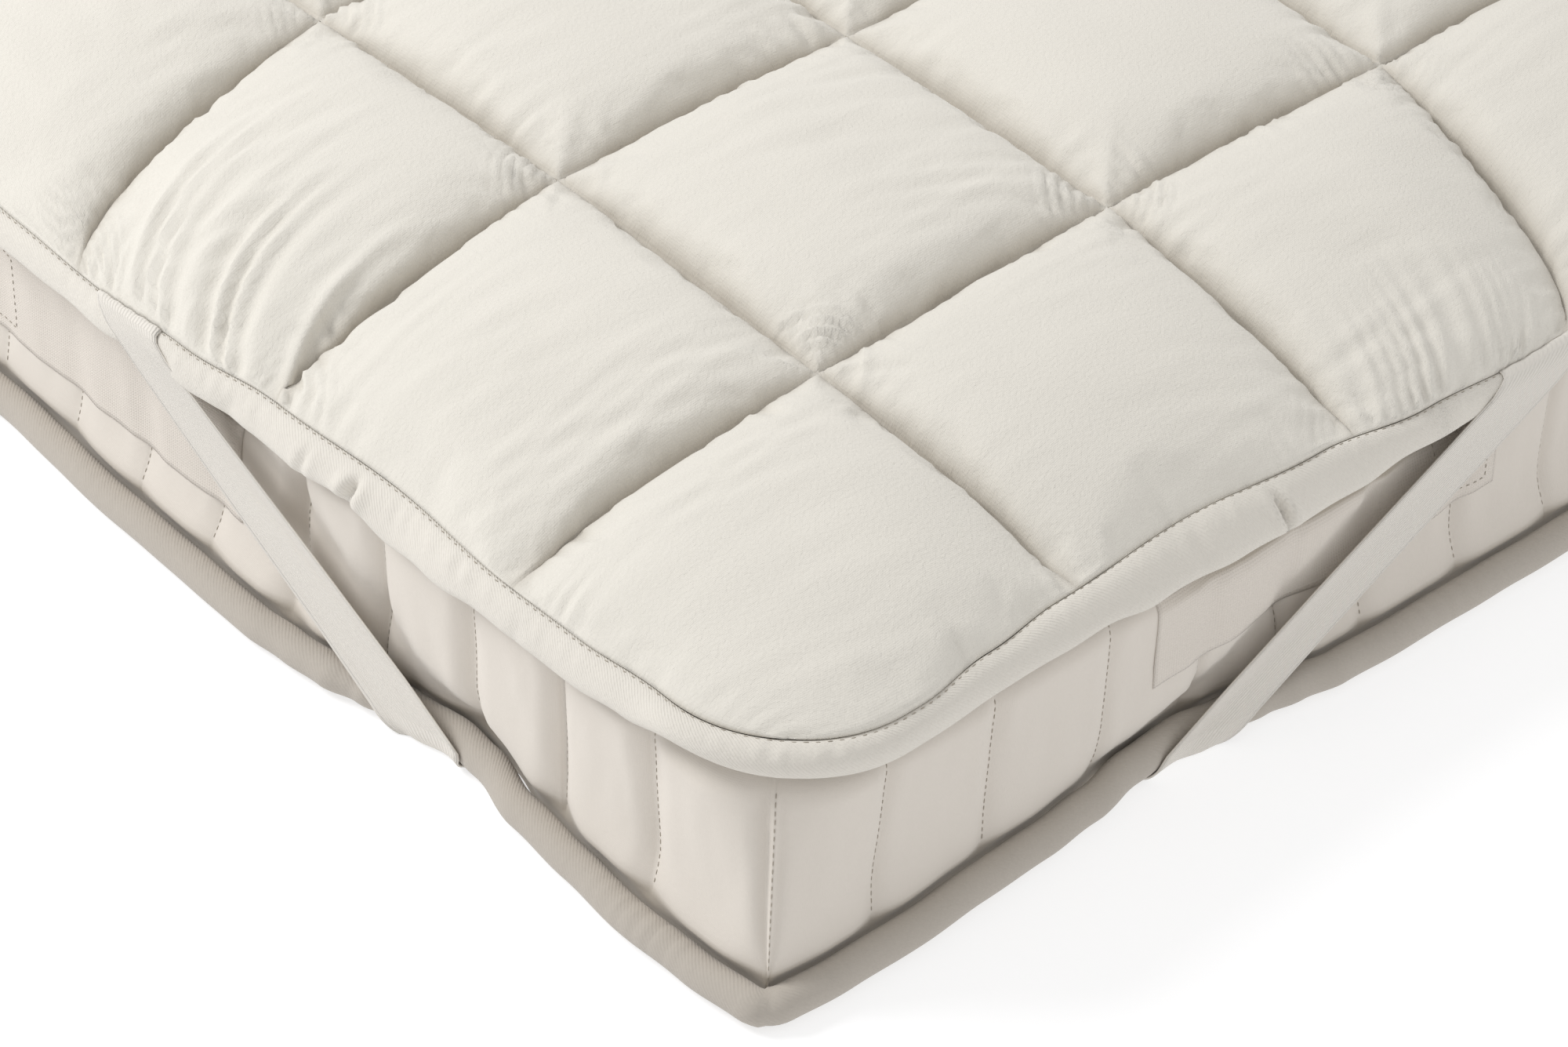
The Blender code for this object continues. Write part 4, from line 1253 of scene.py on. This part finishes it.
def strapLeg(side, curves, across):
    # centre line of the strap at one place over its width, from the seam to the floor
    share = (across + 1) / 2
    edges = strapTable[side]
    column = np.array(edges["near"]) * (1 - share) + np.array(edges["far"]) * share
    top, foot = column[-1], column[1]
    profile = np.array([(np.interp(top, beside, inset), np.interp(top, beside, height))
                        for beside, inset, height in curves])
    pucker = strapSet["pucker"] * (1 + math.cos(across * math.pi * strapSet["puckers"])) / 2
    profile[0:2, 1] += np.array((0.4, 1.0)) * pucker
    kind = {"short": np.array([side == "short"]), "distance": np.array([foot])}
    piping = float(pipingInset(kind)[0]) - pipingSet["radius"]
    beside = np.array((piping - 0.0005 - strapSet["thickness"] / 2, pipingSet["height"]))
    outer = profile[-1]
    steps = np.linspace(0, 1, 31)[1:, None]
    profile = np.concatenate([profile, outer + (beside - outer) * steps])
    reach = pipingSet["radius"] + 0.0005 + strapSet["thickness"] / 2
    lowest = math.asin((pipingSet["height"] - strapSet["thickness"] / 2) / reach)
    angle = np.linspace(0, lowest, 7)[1:]
    under = (beside[0] + reach * (1 - np.cos(angle)), pipingSet["height"] - reach * np.sin(angle))
    profile = np.concatenate([profile, np.stack(under, axis=1)])
    inset, height = profile.T
    distance = np.interp(height, strapTable["height"], column)
    if side == "long":
        return np.stack([inset, distance, height], axis=1)
    return np.stack([distance, inset, height], axis=1)


def makeStraps():
    curves = {side: rollCurve(side) for side in ("long", "short")}
    lines = []
    for across in np.linspace(-1, 1, 11):
        first = strapLeg("long", curves["long"], across)
        second = strapLeg("short", curves["short"], across)
        step = np.linspace(0, 1, 22)[1:-1, None]
        under = first[-1] + (second[-1] - first[-1]) * step
        lines.append(np.concatenate([first, under, second[::-1]]))
    lines = np.array(lines)
    along = travelAlong(lines[5])
    for number, corner in enumerate(corners, start=1):
        points = fromSides(*corner, *np.moveaxis(lines, 2, 0))
        over = np.linspace(0, strapSet["flatWidth"], len(lines))[:, None]
        places = np.stack(np.broadcast_arrays(along[None, :], over), axis=2)
        piece = gridPiece("cornerStrap_%d" % number, points, places, cloth["strap_elastic"])
        thickenSheet(piece, strapSet["thickness"])
        finishPiece(piece, "strap_elastic", "corner_strap_%d" % number)
    print("straps ready, each", round(float(along[-1]), 3), "m long")


makeStraps()


# Carrying handles, flat woven strips sewn to the sides

handleSet = {
    "length": 0.28,
    "thickness": 0.0005,
    "gap": 0.0002,
    "softenPasses": 8,           # how far the strip bridges the seams and folds under it
    "points": (19, 71),          # over its height and along it
    "places": {"long": (0.598, 0.049, 0.117), "short": (0.429, 0.066, 0.130)},
    "paintedGapShade": {"long": 0.0, "short": 0.85},        # painted shade in the gap under the binding, by side
    "paintedShadeHeights": (0.1150, 0.1200),
    "paintedShadePlace": (0.27, 0.36, 0.47, 0.53),
    "box": (0.80, 0.97, 0.12, 0.88),                 # the sewn box's shares along and up the strip
}


def bodyInset(corner, side, distance, height):
    # inset of the body's finished side at places beside a corner
    across = 0 if side == "long" else 1
    halves = (bed["width"] / 2, bed["length"] / 2)
    middle = len(bodyHeights) // 2
    row = bodyPoints[middle]
    onSide = row[:, across] * corner[across] > halves[across] - 0.03
    ours = onSide & (row[:, 1 - across] * corner[1 - across] > 0)
    run = halves[1 - across] - np.abs(bodyPoints[:, ours, 1 - across])
    inset = halves[across] - np.abs(bodyPoints[:, ours, across])
    order = np.argsort(run[middle])
    rows = np.array([np.interp(distance, run[k][order], inset[k][order]) for k in range(len(bodyHeights))])
    spot = np.interp(height, bodyHeights, np.arange(len(bodyHeights)))
    low = np.minimum(np.floor(spot).astype(int), len(bodyHeights) - 2)
    near = np.take_along_axis(rows, low[None], axis=0)[0]
    far = np.take_along_axis(rows, low[None] + 1, axis=0)[0]
    return near + (far - near) * (spot - low)


def handleShares():
    # shares along a handle and up it, at each point of its grid
    rows, columns = handleSet["points"]
    return np.meshgrid(np.linspace(0, 1, columns), np.linspace(0, 1, rows))


def handleSurface(corner, side):
    # a grid of places on a handle's middle layer, over its height and along it
    along, up = handleShares()
    middle, low, high = handleSet["places"][side]
    height = low + (high - low) * up
    distance = middle + (along - 0.5) * handleSet["length"]
    body = bodyInset(corner, side, distance, height)
    inset = body.copy()
    for _ in range(handleSet["softenPasses"]):
        inset[:, 1:-1] = (inset[:, :-2] + 2 * inset[:, 1:-1] + inset[:, 2:]) / 4
        inset[1:-1] = (inset[:-2] + 2 * inset[1:-1] + inset[2:]) / 4
        inset = np.minimum(inset, body)
    inset = inset - handleSet["gap"] - handleSet["thickness"] / 2
    first, second = (inset, distance) if side == "long" else (distance, inset)
    return fromSides(*corner, first, second, height)


def gridPlaces(grid, up, along):
    # a grid of places read between its points, from shares of its height and length
    row, column = up * (grid.shape[0] - 1), along * (grid.shape[1] - 1)
    i, j = row.astype(int), column.astype(int)
    return betweenPoints(grid, i, j, row - i, column - j)


def makeHandles():
    along, up = handleShares()
    for number, corner in enumerate(corners, start=1):
        for side, offset in (("long", -1), ("short", 0)):
            points = handleSurface(corner, side)
            name = 2 * number + offset
            middle, low, high = handleSet["places"][side]
            flat = np.stack([along * handleSet["length"], up * (high - low)], axis=2)
            piece = gridPiece("carryHandle_%d" % name, points, flat, cloth["handle_canvas"])
            # painted shade on the handle's top, under the binding's foot
            underBindingShade = smoothStep(points[..., 2], *handleSet["paintedShadeHeights"])
            beside = middle + (along - 0.5) * handleSet["length"]
            paintShadeOnPoints(piece, handleSet["paintedGapShade"][side] * underBindingShade * window(beside, *handleSet["paintedShadePlace"]))
            thickenSheet(piece, handleSet["thickness"])
            finishPiece(piece, "handle_canvas", "carry_handle_%d" % name)


makeHandles()
print("handles ready")


# Stitches: one small capsule of thread, copied along every seam

stitchSet = {
    # pitch along the seam, length and radius of a stitch
    "quilting": (0.0062, 0.0042, 0.00042),
    "edge": (0.0062, 0.0030, 0.00038),
    "channel": (0.0046, 0.0032, 0.00040),
    "handle": (0.0052, 0.0030, 0.00028),
    "segments": 5,
    "rings": 3,
    "edgeAngle": 79.0,           # where the edge seam's row lies on the binding's roll
}


def stitchRow(points, normals, pitch):
    # middles, directions and normals of the stitches along a line of points
    travel = travelAlong(points)
    count = int(travel[-1] / pitch)
    stops = (np.arange(count) + 0.5) * travel[-1] / count
    middles, ahead, upright = (
        np.stack([np.interp(places, travel, values[:, axis]) for axis in range(3)], axis=1)
        for places, values in ((stops, points), (stops + 0.001, points), (stops, normals)))
    return np.stack([middles, ahead - middles, upright])


def stitchPiece(name, rows, kind, slot, material):
    pitch, length, radius = stitchSet[kind]
    rows = [stitchRow(points, normals, pitch) for points, normals in rows]
    middles, ways, upright = np.concatenate(rows, axis=1)
    ways = oneLong(ways, 1e-12)
    upright = oneLong(upright - ways * (upright * ways).sum(axis=1)[:, None], 1e-12)
    beside = np.cross(ways, upright)
    bpy.ops.object.select_all(action="DESELECT")
    bpy.ops.mesh.primitive_uv_sphere_add(segments=stitchSet["segments"], ring_count=stitchSet["rings"],
                                         radius=1)
    piece = bpy.context.object
    shape = np.array([tuple(vert.co) for vert in piece.data.vertices])
    faces = [tuple(face.vertices) for face in piece.data.polygons]
    wander = np.random.default_rng(len(middles)).uniform(-1, 1, (len(middles), 3))
    across = wander[:, 0] * radius * 0.3
    size = 1 + 0.15 * wander[:, 1]
    spots = (middles + beside * across[:, None])[:, None]
    spots = spots + ways[:, None] * (shape[None, :, 2:] * length / 2 * size[:, None, None])
    spots = spots + beside[:, None] * shape[None, :, :1] * radius
    spots = spots + upright[:, None] * shape[None, :, 1:2] * radius
    joined = [tuple(index + number * len(shape) for index in face) for number in range(len(middles))
              for face in faces]
    piece.data.clear_geometry()
    piece.data.from_pydata(spots.reshape(-1, 3).tolist(), [], joined)
    piece.data.materials.append(cloth[material])
    piece.name = name
    piece.data.name = name
    editMesh(piece, ("normals_make_consistent", {"inside": False}))
    finishPiece(piece, slot)
    print(name + ":", len(middles), "stitches")


def quiltingRows():
    rows = []
    for count, length, isAcross in ((bed["cellsAcross"], bed["cellsAlong"], True),
                                    (bed["cellsAlong"], bed["cellsAcross"], False)):
        run = np.linspace(0.03, length - 0.03, 60 * length)
        for line in range(1, count):
            fixed = np.full_like(run, line)
            points = quiltSurface(fixed, run) if isAcross else quiltSurface(run, fixed)
            rows.append((points + np.array((0, 0, 0.0001)), np.tile((0.0, 0.0, 1.0), (len(run), 1))))
    return rows


def edgeRows():
    sections = bindingSections(*seamPlaces(bindingSet["stationsPerCell"]))
    lines = (rollLine(sections, stitchSet["edgeAngle"], 0.0, outward) for outward in (0.0, 0.001))
    points, outer = (np.append(line, line[:1], axis=0) for line in lines)
    return [(points, (outer - points) * 1000)]


def channelRows():
    rows = []
    span = (bodyHeights > 0.026) & (bodyHeights < 0.128)
    count = bodySet["stationsPerChannel"]
    ahead = np.roll(bodyPoints, -1, axis=1) - np.roll(bodyPoints, 1, axis=1)
    for station in range(0, bodyPoints.shape[1], count):
        way = ahead[span, station]
        normals = oneLong(np.stack([way[:, 1], -way[:, 0], np.zeros(len(way))], axis=1))
        rows.append((bodyPoints[span, station] + normals * 0.0002, normals))
    return rows


def handleRows():
    # the sewn box that shows at the far end of each handle
    rows = []
    for corner in corners:
        for side in ("long", "short"):
            start, end, low, high = handleSet["box"]
            loop = np.array(((start, low), (end, low), (end, high), (start, high), (start, low)))
            run = np.linspace(0, 4, 121)
            along, up = np.interp(run, range(5), loop[:, 0]), np.interp(run, range(5), loop[:, 1])
            facing = np.array((corner[0], 0.0, 0.0) if side == "long" else (0.0, corner[1], 0.0))
            points = gridPlaces(handleSurface(corner, side), up, along)
            points = points + facing * (handleSet["thickness"] / 2 + 0.0003)
            rows.append((points, np.tile(facing, (len(run), 1))))
    return rows


stitchPiece("quiltingStitches", quiltingRows(), "quilting", "brushed_cotton", "quilting_thread_valley_shade")
# the edge, channel and handle stitches carry the painted shade of their needle holes
stitchPiece("edgeStitches", edgeRows(), "edge", "binding_twill", "seam_thread_hole_shade")
stitchPiece("channelStitches", channelRows(), "channel", "mattress_sateen", "seam_thread_hole_shade")
stitchPiece("handleStitches", handleRows(), "handle", "handle_canvas", "seam_thread_hole_shade")
